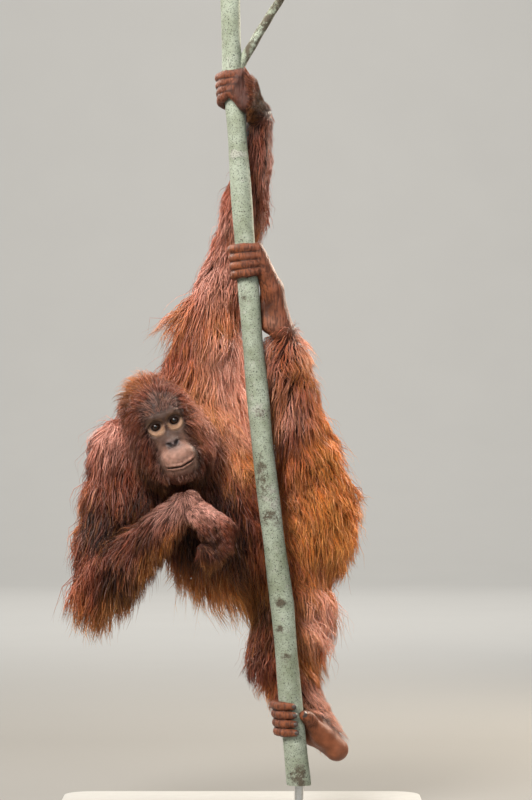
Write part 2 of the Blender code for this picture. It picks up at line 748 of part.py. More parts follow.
# The thumb or big toe on the sapling: start and end angle, start and end height, radii
FIRST_DIGITS = {
    "hand_left": (-20.0, -120.0, 1.436, 1.442, (0.0125, 0.0110, 0.0085)),
    "foot_left": (-25.0, -110.0, 1.030, 1.042, (0.0125, 0.0115, 0.0090)),
    "foot_right": (-28.0, 42.0, 0.196, 0.216, (0.0130, 0.0125, 0.0100)),
}
HAND_LEFT_PALM = 0.0150
FOOT_LEFT_HEEL = (0.012, 0.026, 0.992, 0.0190)
FOOT_LEFT_SOLE = ((0.016, 0.004, 1.070, 0.0160), (-0.002, 0.005, -0.006, 0.0), 0.0180)
FOOT_RIGHT_HEEL = (0.150, 0.040, 0.140, 0.0200)
FOOT_RIGHT_SOLE = ((0.096, 0.040, 0.196, 0.0155), (-0.002, 0.0, -0.009, 0.0), 0.0165)
# The free hand's first finger, and how each next one differs from it
HAND_RIGHT_PALM = 0.0160
HAND_RIGHT_KNUCKLE = ((-0.082, -0.114, 0.600, 0.0120), (0.003, 0.0182, -0.004, 0.0))
HAND_RIGHT_FINGER = (
    ((-0.082, -0.114, 0.600, 0.0112), (0.003, 0.0182, -0.004, 0.0)),
    ((-0.082, -0.112, 0.562, 0.0104), (0.0, 0.0182, -0.004, 0.0)),
    ((-0.102, -0.110, 0.545, 0.0094), (0.0, 0.0182, -0.004, 0.0)),
    ((-0.124, -0.109, 0.556, 0.0080), (0.0, 0.0182, -0.004, 0.0)),
)
HAND_RIGHT_THUMB = (
    (-0.140, -0.105, 0.620, 0.0125), (-0.122, -0.118, 0.590, 0.0115), (-0.106, -0.120, 0.574, 0.0090),
)


def stepped(first, step, index):
    """A station some steps on from the first one."""
    return tuple(np.array(first) + index * np.array(step))


def limb_end(points, limb_name, joint, radius):
    """The wrist or ankle, run on from its limb."""
    return chain(points, [(*LIMBS[limb_name][-2][:3], LIMB_END_RADIUS), (*joint, radius + CORE)])


def grip(points, hand, name, bones):
    """Add four digits and a thumb or big toe round the sapling; bones are the stations before each knuckle."""
    shape = GRIPS[name]
    heights = [shape["top"] - shape["spacing"] * digit for digit in range(DIGITS)]
    angles = [shape["angle"] + shape["fan"] * digit for digit in range(DIGITS)]
    for digit in range(DIGITS):
        knuckle = (*beside_sapling(angles[digit], heights[digit], shape["off"]), KNUCKLE_RADIUS)
        hand = smooth_union(hand, chain(points, bones[digit] + [knuckle]), PALM_BLEND)
    for digit in range(DIGITS):
        end_height = heights[digit] - shape["drop"] - shape["drop_fan"] * digit
        start_angle = angles[digit] + shape["lead"]
        stations = wrapped(start_angle, shape["end_angle"], heights[digit], end_height, shape["radii"])
        hand = smooth_union(hand, chain(points, stations, blend=DIGIT_BEND), DIGIT_BLEND)
    first_digit = wrapped(*FIRST_DIGITS[name])
    return smooth_union(hand, chain(points, first_digit, blend=DIGIT_BEND), DIGIT_BLEND)


def hand_left_field(points):
    """The upper hand, gripping the sapling from its +X side."""
    hand = limb_end(points, "forearm_left", LEFT_WRIST, FOREARM_RADII[-1])
    bones = [[(*LEFT_WRIST, HAND_LEFT_PALM)]] * DIGITS
    return grip(points, hand, "hand_left", bones)


def foot_left_field(points):
    """The upper foot, gripping the sapling with its sole on the +X side."""
    foot = limb_end(points, "shank_left", LEFT_ANKLE, SHANK_RADII[-1])
    heel = [(*LEFT_ANKLE, SHANK_RADII[-1] + CORE), FOOT_LEFT_HEEL]
    foot = smooth_union(foot, chain(points, heel), PALM_BLEND)
    middle, step, ankle_radius = FOOT_LEFT_SOLE
    bones = [[(*LEFT_ANKLE, ankle_radius), stepped(middle, step, toe)] for toe in range(DIGITS)]
    return grip(points, foot, "foot_left", bones)


def foot_right_field(points):
    """The lower foot, passing behind the sapling with its toes round the -X side to the front."""
    foot = limb_end(points, "shank_right", RIGHT_ANKLE, SHANK_RADII[-1])
    heel = [(*RIGHT_ANKLE, SHANK_RADII[-1] + CORE), FOOT_RIGHT_HEEL]
    foot = smooth_union(foot, chain(points, heel), PALM_BLEND)
    middle, step, heel_radius = FOOT_RIGHT_SOLE
    bones = [[(*FOOT_RIGHT_HEEL[:3], heel_radius), stepped(middle, step, toe)] for toe in range(DIGITS)]
    return grip(points, foot, "foot_right", bones)


def hand_right_field(points):
    """The lower hand, loosely closed in front of the chest."""
    hand = limb_end(points, "forearm_right", RIGHT_WRIST, FOREARM_RADII[-1])
    for finger in range(DIGITS):
        bone = [(*RIGHT_WRIST, HAND_RIGHT_PALM), stepped(*HAND_RIGHT_KNUCKLE, finger)]
        hand = smooth_union(hand, chain(points, bone), PALM_BLEND)
    for finger in range(DIGITS):
        stations = [stepped(first, step, finger) for first, step in HAND_RIGHT_FINGER]
        hand = smooth_union(hand, chain(points, stations, blend=DIGIT_BEND), DIGIT_BLEND)
    return smooth_union(hand, chain(points, HAND_RIGHT_THUMB, blend=DIGIT_BEND), DIGIT_BLEND)


HANDS = {
    "hand_left": (hand_left_field, (-0.13, -0.075, 1.33), (0.055, 0.085, 1.55), "wrist_left"),
    "hand_right": (hand_right_field, (-0.24, -0.155, 0.515), (-0.04, 0.02, 0.70), "wrist_right"),
    "foot_left": (foot_left_field, (-0.09, -0.07, 0.92), (0.085, 0.09, 1.20), "ankle_left"),
    "foot_right": (foot_right_field, (-0.03, -0.07, 0.095), (0.195, 0.11, 0.275), "ankle_right"),
}


def sapling_part():
    heights = np.linspace(SAPLING_LINE[0][2], SAPLING_LINE[-1][2], SAPLING_RINGS)
    stations = []
    for height in heights:
        centre, radius = sapling_at(height)
        stations.append((*centre, radius))
    sapling = tube("sapling", stations, SAPLING_SIDES, level_foot=True)
    branch = tube("branch", BRANCH, BRANCH_SIDES)
    combine(sapling, [branch], "UNION")
    keep_largest(sapling)
    return sapling


def grip_cutter():
    """The sapling, swollen by the gap, to cut the hands and feet clear of it."""
    stations = []
    for height in np.linspace(SAPLING_LINE[0][2], SAPLING_LINE[-1][2], SAPLING_RINGS):
        centre, radius = sapling_at(height)
        stations.append((*centre, radius + GRIP_GAP))
    return tube("grip_cutter", stations, SAPLING_SIDES, level_foot=True)


def hand_part(name):
    field, low, high, cut = HANDS[name]
    hand = carve(name, field, low, high, HAND_STEP, HAND_FACES)
    combine(hand, [disc(*PARTINGS[cut])], "DIFFERENCE")
    keep_largest(hand)
    combine(hand, [grip_cutter()], "DIFFERENCE")
    keep_largest(hand)
    return hand


def stand_parts():
    """A flat base with rounded corners, and the rod that carries the sapling."""
    mesh = bpy.data.meshes.new("stand_base")
    work = bmesh.new()
    bmesh.ops.create_cube(work, size=1.0)
    width, depth, height = BASE_SIZE
    place = (BASE_CENTRE[0], BASE_CENTRE[1], height / 2)
    bmesh.ops.transform(
        work, matrix=Matrix.Translation(place) @ Matrix.Diagonal((width, depth, height, 1.0)), verts=work.verts
    )
    upright = [edge for edge in work.edges if abs(edge.verts[0].co.z - edge.verts[1].co.z) > height / 2]
    bmesh.ops.bevel(work, geom=upright, offset=BASE_CORNER, segments=6, profile=0.5, affect="EDGES")
    top = [edge for edge in work.edges if all(vertex.co.z > height - 1e-6 for vertex in edge.verts)]
    bmesh.ops.bevel(work, geom=top, offset=BASE_EDGE, segments=2, profile=0.5, affect="EDGES")
    work.to_mesh(mesh)
    work.free()
    base = bpy.data.objects.new("stand_base", mesh)
    bpy.context.scene.collection.objects.link(base)
    foot = SAPLING_LINE[0]
    rod = tube(
        "stand_rod",
        [(foot[0], 0.0, height + GAP, ROD_RADIUS), (foot[0], 0.0, foot[2] - GAP, ROD_RADIUS)],
        SAPLING_SIDES,
    )
    return [base, rod]


def tree_of(mesh):
    """A search tree over a mesh, in world space."""
    mesh.calc_loop_triangles()
    corners = [vertex.co.copy() for vertex in mesh.vertices]
    return BVHTree.FromPolygons(corners, [tuple(face.vertices) for face in mesh.loop_triangles])


def spread_roots(obj, count, chance, allowed):
    """Points spread evenly over an object's surface, each with its outward normal."""
    mesh = obj.data
    mesh.calc_loop_triangles()
    areas = np.array([face.area for face in mesh.loop_triangles])
    picks = chance.choices(range(len(areas)), weights=areas.tolist(), k=count * ROOT_TRIES)
    places = []
    normals = []
    for pick in picks:
        face = mesh.loop_triangles[pick]
        first, second = sorted((chance.random(), chance.random()))
        shares = (first, second - first, 1.0 - second)
        place = sum((mesh.vertices[v].co * share for v, share in zip(face.vertices, shares)), Vector())
        if allowed(place):
            places.append(place)
            normals.append(face.normal.copy())
    cloud = np.array([place[:] for place in places])
    chosen = [0]
    nearest = np.linalg.norm(cloud - cloud[0], axis=1)
    while len(chosen) < min(count, len(places)):
        furthest = int(nearest.argmax())
        chosen.append(furthest)
        nearest = np.minimum(nearest, np.linalg.norm(cloud - cloud[furthest], axis=1))
    return [(places[index], normals[index]) for index in chosen]


def lie_at(name, place, normal, lie):
    """The coat's direction at a place: down the body, or back from the face on the head."""
    if name == "head":
        away = place - Vector(from_head(FACE_MIDDLE))
        flow = away.normalized() + Vector(lie)
    else:
        flow = Vector(lie)
    flow -= normal * flow.dot(normal)
    if flow.length < SHORTEST_LIE:
        flow += Vector(SPARE_LIE)
        flow -= normal * flow.dot(normal)
    return flow.normalized()


def lock_path(root, normal, lie, length, lift, cores):
    """A lock's stations: it leaves the skin, follows the body and droops where it hangs free."""
    step = length / LOCK_STEPS
    place = root - normal * LOCK_SINK
    heading = (lie + normal * (lift + LOCK_ROOT_LIFT)).normalized()
    path = [(place.copy(), normal.copy())]
    for index in range(1, LOCK_STEPS + 1):
        share = index / LOCK_STEPS
        place = place + heading * step
        found, surface, _, _ = cores.find_nearest(place)
        off = (place - found).dot(surface)
        risen = share * (lift + LOCK_STAND_OFF_LIFT)
        wanted = LOCK_STAND_OFF[0] + (LOCK_STAND_OFF[1] - LOCK_STAND_OFF[0]) * risen
        if index > 1 and off < wanted:
            place = place + surface * (wanted - off)
        elif index > 1 and surface.z > LOCK_FREE_BELOW:
            place = place - surface * (off - wanted) * LOCK_HOLD
        heading = heading + Vector((0.0, 0.0, -LOCK_DROOP * share)) - surface * heading.dot(surface) * LOCK_HUG
        heading.normalize()
        path.append((place.copy(), surface.copy()))
    return path


def lock_mesh(path, width, thickness, swell=0.0):
    """A flat, tapered lock along a path, ridged on its outer side."""
    mesh = bpy.data.meshes.new("lock")
    work = bmesh.new()
    rings = []
    for share, wide in zip(LOCK_SHARES, LOCK_WIDTHS):
        index = round(share * LOCK_STEPS)
        place, normal = path[index]
        ahead = (path[min(index + 1, LOCK_STEPS)][0] - path[max(index - 1, 0)][0]).normalized()
        side = ahead.cross(normal).normalized()
        up = side.cross(ahead).normalized()
        half_width = width * wide / 2 + swell
        half_thick = thickness * (1.0 + wide) / 4 + swell
        back = up * half_thick * LOCK_BACK
        offsets = (side * half_width - back, up * half_thick, -side * half_width - back)
        rings.append([work.verts.new(place + offset) for offset in offsets])
    end = path[-1][0]
    tip = work.verts.new(end + (end - path[-2][0]).normalized() * swell)
    for lower, upper in zip(rings[:-1], rings[1:]):
        for side in range(3):
            after = (side + 1) % 3
            work.faces.new((lower[side], lower[after], upper[after]))
            work.faces.new((lower[side], upper[after], upper[side]))
    for side in range(3):
        work.faces.new((rings[-1][side], rings[-1][(side + 1) % 3], tip))
    work.faces.new(rings[0])
    bmesh.ops.recalc_face_normals(work, faces=work.faces)
    if work.calc_volume(signed=True) < 0:
        bmesh.ops.reverse_faces(work, faces=work.faces)
    work.to_mesh(mesh)
    work.free()
    return mesh


def grows_hair(name, place):
    """Whether a lock may root here: clear of the cut faces, and off the bare face."""
    for cut_place, cut_normal, reach in PARTINGS.values():
        away = np.array(place[:]) - cut_place
        if np.linalg.norm(away) < reach and abs(away @ cut_normal) < CUT_MARGIN:
            return False
    if name == "head":
        local = in_head(np.array(place[:]))
        return local[1] > HAIR_FRONT or (local[2] > HAIRLINE and local[1] > FOREHEAD_FRONT)
    return True


def grow_locks(parts):
    """Lay the coat's locks on every node that has them, each clear of all other nodes."""
    chance = random.Random(SEED)
    trees = {name: tree_of(obj.data) for name, obj in parts.items()}
    corners = []
    faces = []
    for name in COATS:
        mesh = parts[name].data
        faces += [tuple(v + len(corners) for v in face.vertices) for face in mesh.loop_triangles]
        corners += [vertex.co.copy() for vertex in mesh.vertices]
    cores = BVHTree.FromPolygons(corners, faces)
    laid = {name: [] for name in COATS}
    for name, (count, length, width, lift, lie) in COATS.items():
        roots = spread_roots(parts[name], count * SPARE_ROOTS, chance, lambda place: grows_hair(name, place))
        for place, normal in roots:
            if len(laid[name]) == count:
                break
            size = chance.uniform(1.0 - LOCK_VARIATION, 1.0 + LOCK_VARIATION)
            turn = chance.uniform(-LOCK_VEER, LOCK_VEER)
            shape = (length * size, width * size, lift, turn, lie)
            mesh = fitting_lock(name, place, normal, shape, cores, trees, laid)
            if mesh is not None:
                laid[name].append((mesh, tree_of(mesh)))
    for name, locks in laid.items():
        if not locks:
            continue
        objects = [bpy.data.objects.new("lock", mesh) for mesh, _ in locks]
        combine(parts[name], objects, "UNION", "MANIFOLD")
        keep_largest(parts[name])
        close_up(parts[name].data)


def fitting_lock(name, place, normal, shape, cores, trees, laid):
    """The first of a few tries at a lock that stays clear of the other nodes, or nothing."""
    length, width, lift, turn, lie = shape
    flow = lie_at(name, place, normal, lie)
    for shorter, veer in LOCK_TRIES:
        heading = (flow + normal.cross(flow) * (turn + veer)).normalized()
        path = lock_path(place, normal, heading, length * shorter, lift, cores)
        swollen = lock_mesh(path, width, LOCK_THICKNESS, LOCK_CLEAR)
        tree = tree_of(swollen)
        bpy.data.meshes.remove(swollen)
        blocked = any(tree.overlap(other) for key, other in trees.items() if key != name)
        blocked = blocked or any(
            tree.overlap(other) for key, locks in laid.items() if key != name for _, other in locks
        )
        if not blocked:
            return lock_mesh(path, width, LOCK_THICKNESS)
    return None


# Finishes: colour and roughness
COAT = ((0.145, 0.036, 0.014), 0.85)
FACE = ((0.150, 0.095, 0.070), 0.62)
SKIN = ((0.055, 0.030, 0.026), 0.55)
EYE = ((0.022, 0.010, 0.006), 0.12)
BARK = ((0.330, 0.340, 0.270), 0.85)
BASE_PAINT = ((0.700, 0.690, 0.660), 0.55)
ROD_STEEL = ((0.500, 0.500, 0.490), 0.35)
FINISHES = {
    "head": FACE,
    "hand_left": SKIN,
    "hand_right": SKIN,
    "foot_left": SKIN,
    "foot_right": SKIN,
    "ear_left": SKIN,
    "ear_right": SKIN,
    "eye_left": EYE,
    "eye_right": EYE,
    "sapling": BARK,
    "stand_base": BASE_PAINT,
    "stand_rod": ROD_STEEL,
}
METAL = ("stand_rod",)
SHARP_ANGLE = math.radians(50)


def finish(obj):
    colour, roughness = FINISHES.get(obj.name, COAT)
    material = bpy.data.materials.new(obj.name)
    material.use_nodes = True
    shader = material.node_tree.nodes["Principled BSDF"]
    shader.inputs["Base Color"].default_value = (*colour, 1.0)
    shader.inputs["Roughness"].default_value = roughness
    shader.inputs["Metallic"].default_value = float(obj.name in METAL)
    obj.data.materials.clear()
    obj.data.materials.append(material)
    obj.data.shade_smooth()
    obj.data.set_sharp_from_angle(angle=SHARP_ANGLE)


def main():
    for obj in list(bpy.data.objects):
        bpy.data.objects.remove(obj)
    parts = dict(body_parts())
    parts["head"] = head_part()
    for name in HANDS:
        parts[name] = hand_part(name)
    parts["eye_left"] = eye_part("eye_left", 1.0)
    parts["eye_right"] = eye_part("eye_right", -1.0)
    cut_clear(parts["foot_right"], parts["shank_right"])
    parts["ear_left"] = ear_part("ear_left", 1.0, parts["head"])
    parts["ear_right"] = ear_part("ear_right", -1.0, parts["head"])
    parts["sapling"] = sapling_part()
    for obj in stand_parts():
        parts[obj.name] = obj
    grow_locks(parts)
    for name, obj in parts.items():
        obj.name = name
        finish(obj)


main()
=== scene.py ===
"""The looks of a young orangutan climbing a thin sapling, as a still, life-size display model.

Metres, +Z up. The animal faces -Y, with its own left side at +X. One skin stands for all the flesh, and
the coat over it is fine tapered tufts that follow the lie of the hair.
"""

import math

import bmesh
import bpy
import numpy as np
import openvdb
from mathutils import Matrix, Vector
from mathutils.kdtree import KDTree


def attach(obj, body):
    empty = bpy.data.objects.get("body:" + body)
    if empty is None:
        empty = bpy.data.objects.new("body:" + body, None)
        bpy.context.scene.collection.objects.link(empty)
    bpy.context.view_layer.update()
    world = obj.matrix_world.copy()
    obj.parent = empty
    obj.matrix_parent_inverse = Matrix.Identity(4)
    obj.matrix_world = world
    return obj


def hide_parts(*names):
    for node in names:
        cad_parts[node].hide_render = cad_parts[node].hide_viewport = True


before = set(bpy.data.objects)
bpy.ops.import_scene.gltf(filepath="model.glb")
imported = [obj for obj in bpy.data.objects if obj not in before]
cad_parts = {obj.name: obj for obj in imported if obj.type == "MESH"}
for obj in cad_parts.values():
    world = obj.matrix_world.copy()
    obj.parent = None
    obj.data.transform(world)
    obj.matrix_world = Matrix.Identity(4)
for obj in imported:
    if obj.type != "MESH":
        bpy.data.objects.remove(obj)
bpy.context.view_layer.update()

# Joints of the skeleton, as in the solids
LEFT_SHOULDER = (-0.132, 0.135, 0.901)
LEFT_ELBOW = (-0.060, 0.108, 1.165)
LEFT_WRIST = (-0.012, 0.034, 1.411)
RIGHT_SHOULDER = (-0.288, 0.125, 0.735)
RIGHT_ELBOW = (-0.332, 0.060, 0.490)
RIGHT_WRIST = (-0.158, -0.075, 0.639)
LEFT_HIP = (0.100, 0.112, 0.598)
LEFT_KNEE = (0.062, 0.058, 0.800)
LEFT_ANKLE = (0.034, 0.020, 0.982)
RIGHT_HIP = (0.048, 0.130, 0.509)
RIGHT_KNEE = (0.022, 0.088, 0.317)
RIGHT_ANKLE = (0.124, 0.050, 0.171)
NECK_BASE = (-0.214, 0.135, 0.821)
CHEST = (-0.162, 0.135, 0.763)
BELLY = (-0.096, 0.118, 0.632)
LOWER_BELLY = (-0.012, 0.124, 0.580)
PELVIS = (0.066, 0.122, 0.556)
CORE = 0.006

# The head: the point between the eyes, and how it is tilted, turned and nodded
EYE_MIDDLE = (-0.200, -0.072, 0.798)
HEAD_TILT = math.radians(20.5)
HEAD_TURN = math.radians(4.0)
HEAD_NOD = math.radians(5.0)
EYE_HALF_SPACING = 0.0195
EYE_RADIUS = 0.0105
EYE_DEPTH = 0.0095

# Sapling, as in the solids
SAPLING_LINE = (
    (0.0660, 0.0, 0.075),
    (0.0480, 0.0, 0.253),
    (0.0328, 0.0, 0.431),
    (0.0100, 0.0, 0.609),
    (-0.0060, 0.0, 0.741),
    (-0.0266, 0.0, 0.963),
    (-0.0450, 0.0, 1.193),
    (-0.0590, 0.0, 1.393),
    (-0.0680, 0.0, 1.501),
    (-0.0725, 0.0, 1.679),
)
SAPLING_FOOT_RADIUS = 0.0240
SAPLING_TOP_RADIUS = 0.0190
BRANCH = (
    (-0.0660, 0.0000, 1.492, 0.0100),
    (-0.0460, 0.0030, 1.524, 0.0098),
    (-0.0050, 0.0060, 1.594, 0.0090),
    (0.0340, 0.0060, 1.656, 0.0080),
)

# Camera: level, square to the sapling, with the photo's framing
CAMERA_PLACE = (0.0, -7.0, 0.845)
CAMERA_LENS = 157.5
CAMERA_SENSOR = 36.0

SEED = 7


# Small vector helpers
def unit(vector):
    vector = np.asarray(vector, float)
    return vector / np.linalg.norm(vector)


def units(vectors):
    return vectors / np.maximum(np.linalg.norm(vectors, axis=-1, keepdims=True), 1e-9)


def between(start, end, share):
    start = np.asarray(start, float)
    return start + (np.asarray(end, float) - start) * share


def ramp(values, low, high):
    """0 below low, 1 above high and a smooth step between; low may be the larger."""
    share = np.clip((values - low) / (high - low), 0.0, 1.0)
    return share * share * (3.0 - 2.0 * share)


def bump(values, middle, spread):
    return np.exp(-(((values - middle) / spread) ** 2))


# Distance fields
def smooth_union(first, second, blend):
    """The lower of two distances, rounded where they are within blend of each other."""
    mix = np.clip(0.5 + 0.5 * (second - first) / blend, 0.0, 1.0)
    return second + (first - second) * mix - blend * mix * (1.0 - mix)


def smooth_cut(solid, cutter, blend):
    return -smooth_union(-solid, cutter, blend)


def chain(points, stations, flatten=None, blend=0.012):
    """Distance to a limb through stations (x, y, z, radius); flatten is a direction and how much thinner."""
    found = None
    for start, end in zip(stations[:-1], stations[1:]):
        span = np.subtract(end[:3], start[:3])
        share = np.clip((points - np.array(start[:3])) @ span / (span @ span), 0.0, 1.0)
        away = points - np.array(start[:3]) - share[:, None] * span
        if flatten is not None:
            axis = unit(flatten[0])
            away = away + ((flatten[1] - 1.0) * (away @ axis))[:, None] * axis
        distance = np.sqrt((away * away).sum(axis=1)) - (start[3] + share * (end[3] - start[3]))
        found = distance if found is None else smooth_union(found, distance, blend)
    return found


def ball(points, centre, radii):
    """Distance, near enough, to an ellipsoid whose axes are those of the points."""
    scaled = (points - np.array(centre)) / np.array(radii)
    length = np.sqrt((scaled * scaled).sum(axis=1))
    return (length - 1.0) * min(radii)


BLOCK = 8


def carve(field, low, high, step):
    """Points and quads of where the field is zero, worked out only in the blocks near it."""
    size = BLOCK * step
    counts = [int(math.ceil((b - a) / size)) for a, b in zip(low, high)]
    starts = np.stack(np.meshgrid(*[np.arange(n) for n in counts], indexing="ij"), axis=-1).reshape(-1, 3)
    middles = np.array(low) + (starts + 0.5) * size
    values = field(middles)
    reach = size * 0.5 * math.sqrt(3.0) + 0.35 * size
    grid = openvdb.FloatGrid(1.0)
    for start in starts[values < -reach]:
        first = (start * BLOCK).tolist()
        grid.fill(first, [n + BLOCK - 1 for n in first], -1.0)
    near = starts[np.abs(values) <= reach]
    inner = np.stack(np.meshgrid(*[np.arange(BLOCK)] * 3, indexing="ij"), axis=-1).reshape(-1, 3)
    for group in np.array_split(near, max(1, len(near) // 64)):
        corners = (group * BLOCK)[:, None, :] + inner[None]
        found = field((np.array(low) + corners.reshape(-1, 3) * step)).astype(np.float32)
        for start, block in zip(group, found.reshape(len(group), BLOCK, BLOCK, BLOCK)):
            grid.copyFromArray(np.ascontiguousarray(block), ijk=tuple(int(n) * BLOCK for n in start))
    corners, quads = grid.convertToQuads(0.0)
    return np.array(corners) * step + np.array(low), np.array(quads)


def mesh_object(name, points, faces):
    """A mesh object from points and faces of one size, with its faces pointing out."""
    mesh = bpy.data.meshes.new(name)
    mesh.from_pydata(np.asarray(points).tolist(), [], np.asarray(faces).tolist())
    work = bmesh.new()
    work.from_mesh(mesh)
    if work.calc_volume(signed=True) < 0:
        bmesh.ops.reverse_faces(work, faces=work.faces)
    work.to_mesh(mesh)
    work.free()
    obj = bpy.data.objects.new(name, mesh)
    bpy.context.scene.collection.objects.link(obj)
    mesh.shade_smooth()
    return obj


# The head's own axes in the world: to the viewer's right, away from the viewer, and up
def head_axes():
    tilt = Matrix.Rotation(-HEAD_TILT, 3, "Y")
    turn = Matrix.Rotation(HEAD_TURN, 3, "Z")
    nod = Matrix.Rotation(HEAD_NOD, 3, "X")
    return np.array(tilt @ turn @ nod)


HEAD_AXES = head_axes()


def in_head(points):
    return (points - np.array(EYE_MIDDLE)) @ HEAD_AXES


def from_head(point):
    return np.array(EYE_MIDDLE) + np.asarray(point) @ HEAD_AXES.T


# The body's flesh
UPPER_ARM_RADII = (0.040, 0.037, 0.033, 0.030)
FOREARM_RADII = (0.031, 0.035, 0.027, 0.020)
THIGH_RADII = (0.052, 0.048, 0.040, 0.034)
SHANK_RADII = (0.034, 0.034, 0.026, 0.020)
LIMB_SHARES = (0.0, 0.3, 0.7, 1.0)
WRIST_REACH = 0.012


def limb(start, end, radii, bow=(0.0, 0.0, 0.0)):
    """Stations along a bone, bowed by a small offset at its middle."""
    stations = []
    for share, radius in zip(LIMB_SHARES, radii):
        place = between(start, end, share) + np.array(bow) * math.sin(math.pi * share)
        stations.append((*place, radius))
    return stations


def carried_on(stations):
    """The same stations, with one more past the far joint."""
    last = np.array(stations[-1][:3])
    further = last + WRIST_REACH * unit(last - np.array(stations[-2][:3]))
    return stations + [(*further, stations[-1][3] * 0.9)]


LIMBS = {
    "arm_upper_left": limb(LEFT_SHOULDER, LEFT_ELBOW, UPPER_ARM_RADII, (-0.008, 0.0, 0.0)),
    "forearm_left": limb(LEFT_ELBOW, LEFT_WRIST, FOREARM_RADII, (0.004, 0.0, 0.0)),
    "arm_upper_right": limb(RIGHT_SHOULDER, RIGHT_ELBOW, UPPER_ARM_RADII, (-0.014, 0.0, 0.0)),
    "forearm_right": limb(RIGHT_ELBOW, RIGHT_WRIST, FOREARM_RADII, (0.0, 0.0, -0.008)),
    "thigh_left": limb(LEFT_HIP, LEFT_KNEE, THIGH_RADII, (0.010, 0.0, 0.0)),
    "shank_left": limb(LEFT_KNEE, LEFT_ANKLE, SHANK_RADII, (0.004, 0.010, 0.0)),
    "thigh_right": limb(RIGHT_HIP, RIGHT_KNEE, THIGH_RADII, (0.014, 0.0, 0.0)),
    "shank_right": limb(RIGHT_KNEE, RIGHT_ANKLE, SHANK_RADII, (0.0, 0.010, -0.006)),
}
TORSO = (
    (*NECK_BASE, 0.049),
    (*CHEST, 0.094),
    (*BELLY, 0.106),
    (*LOWER_BELLY, 0.076),
    (*PELVIS, 0.066),
)
TORSO_FLATTEN = ((0.0, 1.0, 0.0), 1.25)
TORSO_BLEND = 0.040
SHOULDER_BALLS = ((LEFT_SHOULDER, 0.046), (RIGHT_SHOULDER, 0.048))
SKULL_BASE = tuple(from_head((0.0, 0.060, -0.015)))
NECK = (
    (*NECK_BASE, 0.050),
    (*between(NECK_BASE, SKULL_BASE, 0.6), 0.045),
    (*SKULL_BASE, 0.040),
)
BLEND = 0.030
ELBOW_BLEND = 0.015
LEAST_BLEND = 0.0005
JOINT_BLEND_NEAR = 0.075
JOINT_BLEND_FAR = 0.135
BODY_LOW = (-0.46, -0.16, 0.10)
BODY_HIGH = (0.26, 0.28, 1.48)
BODY_STEP = 0.0036


def body_field(points):
    """Distance to the body's flesh without its head, hands and feet."""
    body = chain(points, TORSO, TORSO_FLATTEN, TORSO_BLEND)
    for centre, radius in SHOULDER_BALLS:
        body = smooth_union(body, ball(points, centre, (radius,) * 3), BLEND)
    body = smooth_union(body, chain(points, NECK), BLEND)
    for upper, lower, root in (
        ("arm_upper_left", "forearm_left", LEFT_SHOULDER),
        ("arm_upper_right", "forearm_right", RIGHT_SHOULDER),
        ("thigh_left", "shank_left", LEFT_HIP),
        ("thigh_right", "shank_right", RIGHT_HIP),
    ):
        whole = smooth_union(chain(points, LIMBS[upper]), chain(points, carried_on(LIMBS[lower])), ELBOW_BLEND)
        away = np.sqrt(((points - np.array(root)) ** 2).sum(axis=1))
        near = np.clip((JOINT_BLEND_FAR - away) / (JOINT_BLEND_FAR - JOINT_BLEND_NEAR), 0.0, 1.0)
        body = smooth_union(body, whole, LEAST_BLEND + BLEND * near)
    return body


# The head's forms, in its own axes. A form is a centre and its half sizes
SKULL = ((0.0, 0.064, 0.020), (0.052, 0.063, 0.053))
FOREHEAD = ((0.0, 0.032, 0.030), (0.042, 0.035, 0.033))
MIDFACE = ((0.0, 0.014, -0.040), (0.036, 0.040, 0.044))
MUZZLE = ((0.0, -0.014, -0.074), (0.040, 0.037, 0.033))
UPPER_LIP = ((0.0, -0.030, -0.067), (0.033, 0.026, 0.021))
LOWER_LIP = ((0.0, -0.022, -0.098), (0.028, 0.027, 0.016))
CHIN = ((0.0, -0.006, -0.104), (0.030, 0.030, 0.020))
BROW = (
    (-0.036, 0.012, 0.011, 0.0085), (-0.020, 0.000, 0.0175, 0.0080), (0.0, 0.001, 0.0130, 0.0070),
    (0.020, 0.000, 0.0175, 0.0080), (0.036, 0.012, 0.011, 0.0085),
)
NOSE_BRIDGE = ((0.0, 0.003, 0.006, 0.0065), (0.0, -0.006, -0.016, 0.0060), (0.0, -0.018, -0.034, 0.0080))
NOSE_PAD = ((0.0, -0.0245, -0.0365), (0.0110, 0.0100, 0.0080))
NOSE_WING = ((0.0100, -0.0235, -0.0440), (0.0066, 0.0078, 0.0058))
CHEEK = ((0.030, 0.010, -0.014, 0.011), (0.043, 0.030, -0.030, 0.015), (0.043, 0.048, -0.050, 0.019))
JAW = ((0.012, -0.002, -0.100, 0.018), (0.034, 0.030, -0.080, 0.022), (0.042, 0.055, -0.045, 0.023))
SOCKET = ((0.0195, -0.010, -0.0015), (0.0150, 0.0115, 0.0120))
NOSTRIL = ((0.0022, -0.036, -0.0470, 0.0014), (0.0060, -0.035, -0.0448, 0.0026), (0.0104, -0.031, -0.0385, 0.0032))
MOUTH_LEVEL = -0.0855
MOUTH_HALF_WIDTH = 0.027
MOUTH_RISE = 0.0045
MOUTH_GROOVE = 0.0010
MOUTH_DEPTH = 0.0045
MOUTH_CORNER = 0.010
MOUTH_BACK = 0.010
LIP_PLACE = 0.0036
LIP_SPREAD = 0.0030
LIP_SWELL = 0.0024
LIP_BACK = 0.018
HEAD_BLEND = 0.016
FACE_BLEND = 0.009
SOCKET_BLEND = 0.010
NOSTRIL_BLEND = 0.0016
GROOVE_BLEND = 0.0010
LID_THICKNESS = 0.0021
LID_BLEND = 0.0035
LID_OPENING = (0.0092, 0.0066)
LID_SLIT_DEPTH = 0.010
LID_DROP = -0.0008
LID_EDGE_BLEND = 0.0007
HEAD_LOW = (-0.31, -0.135, 0.650)
HEAD_HIGH = (-0.10, 0.12, 0.930)
HEAD_STEP = 0.0011

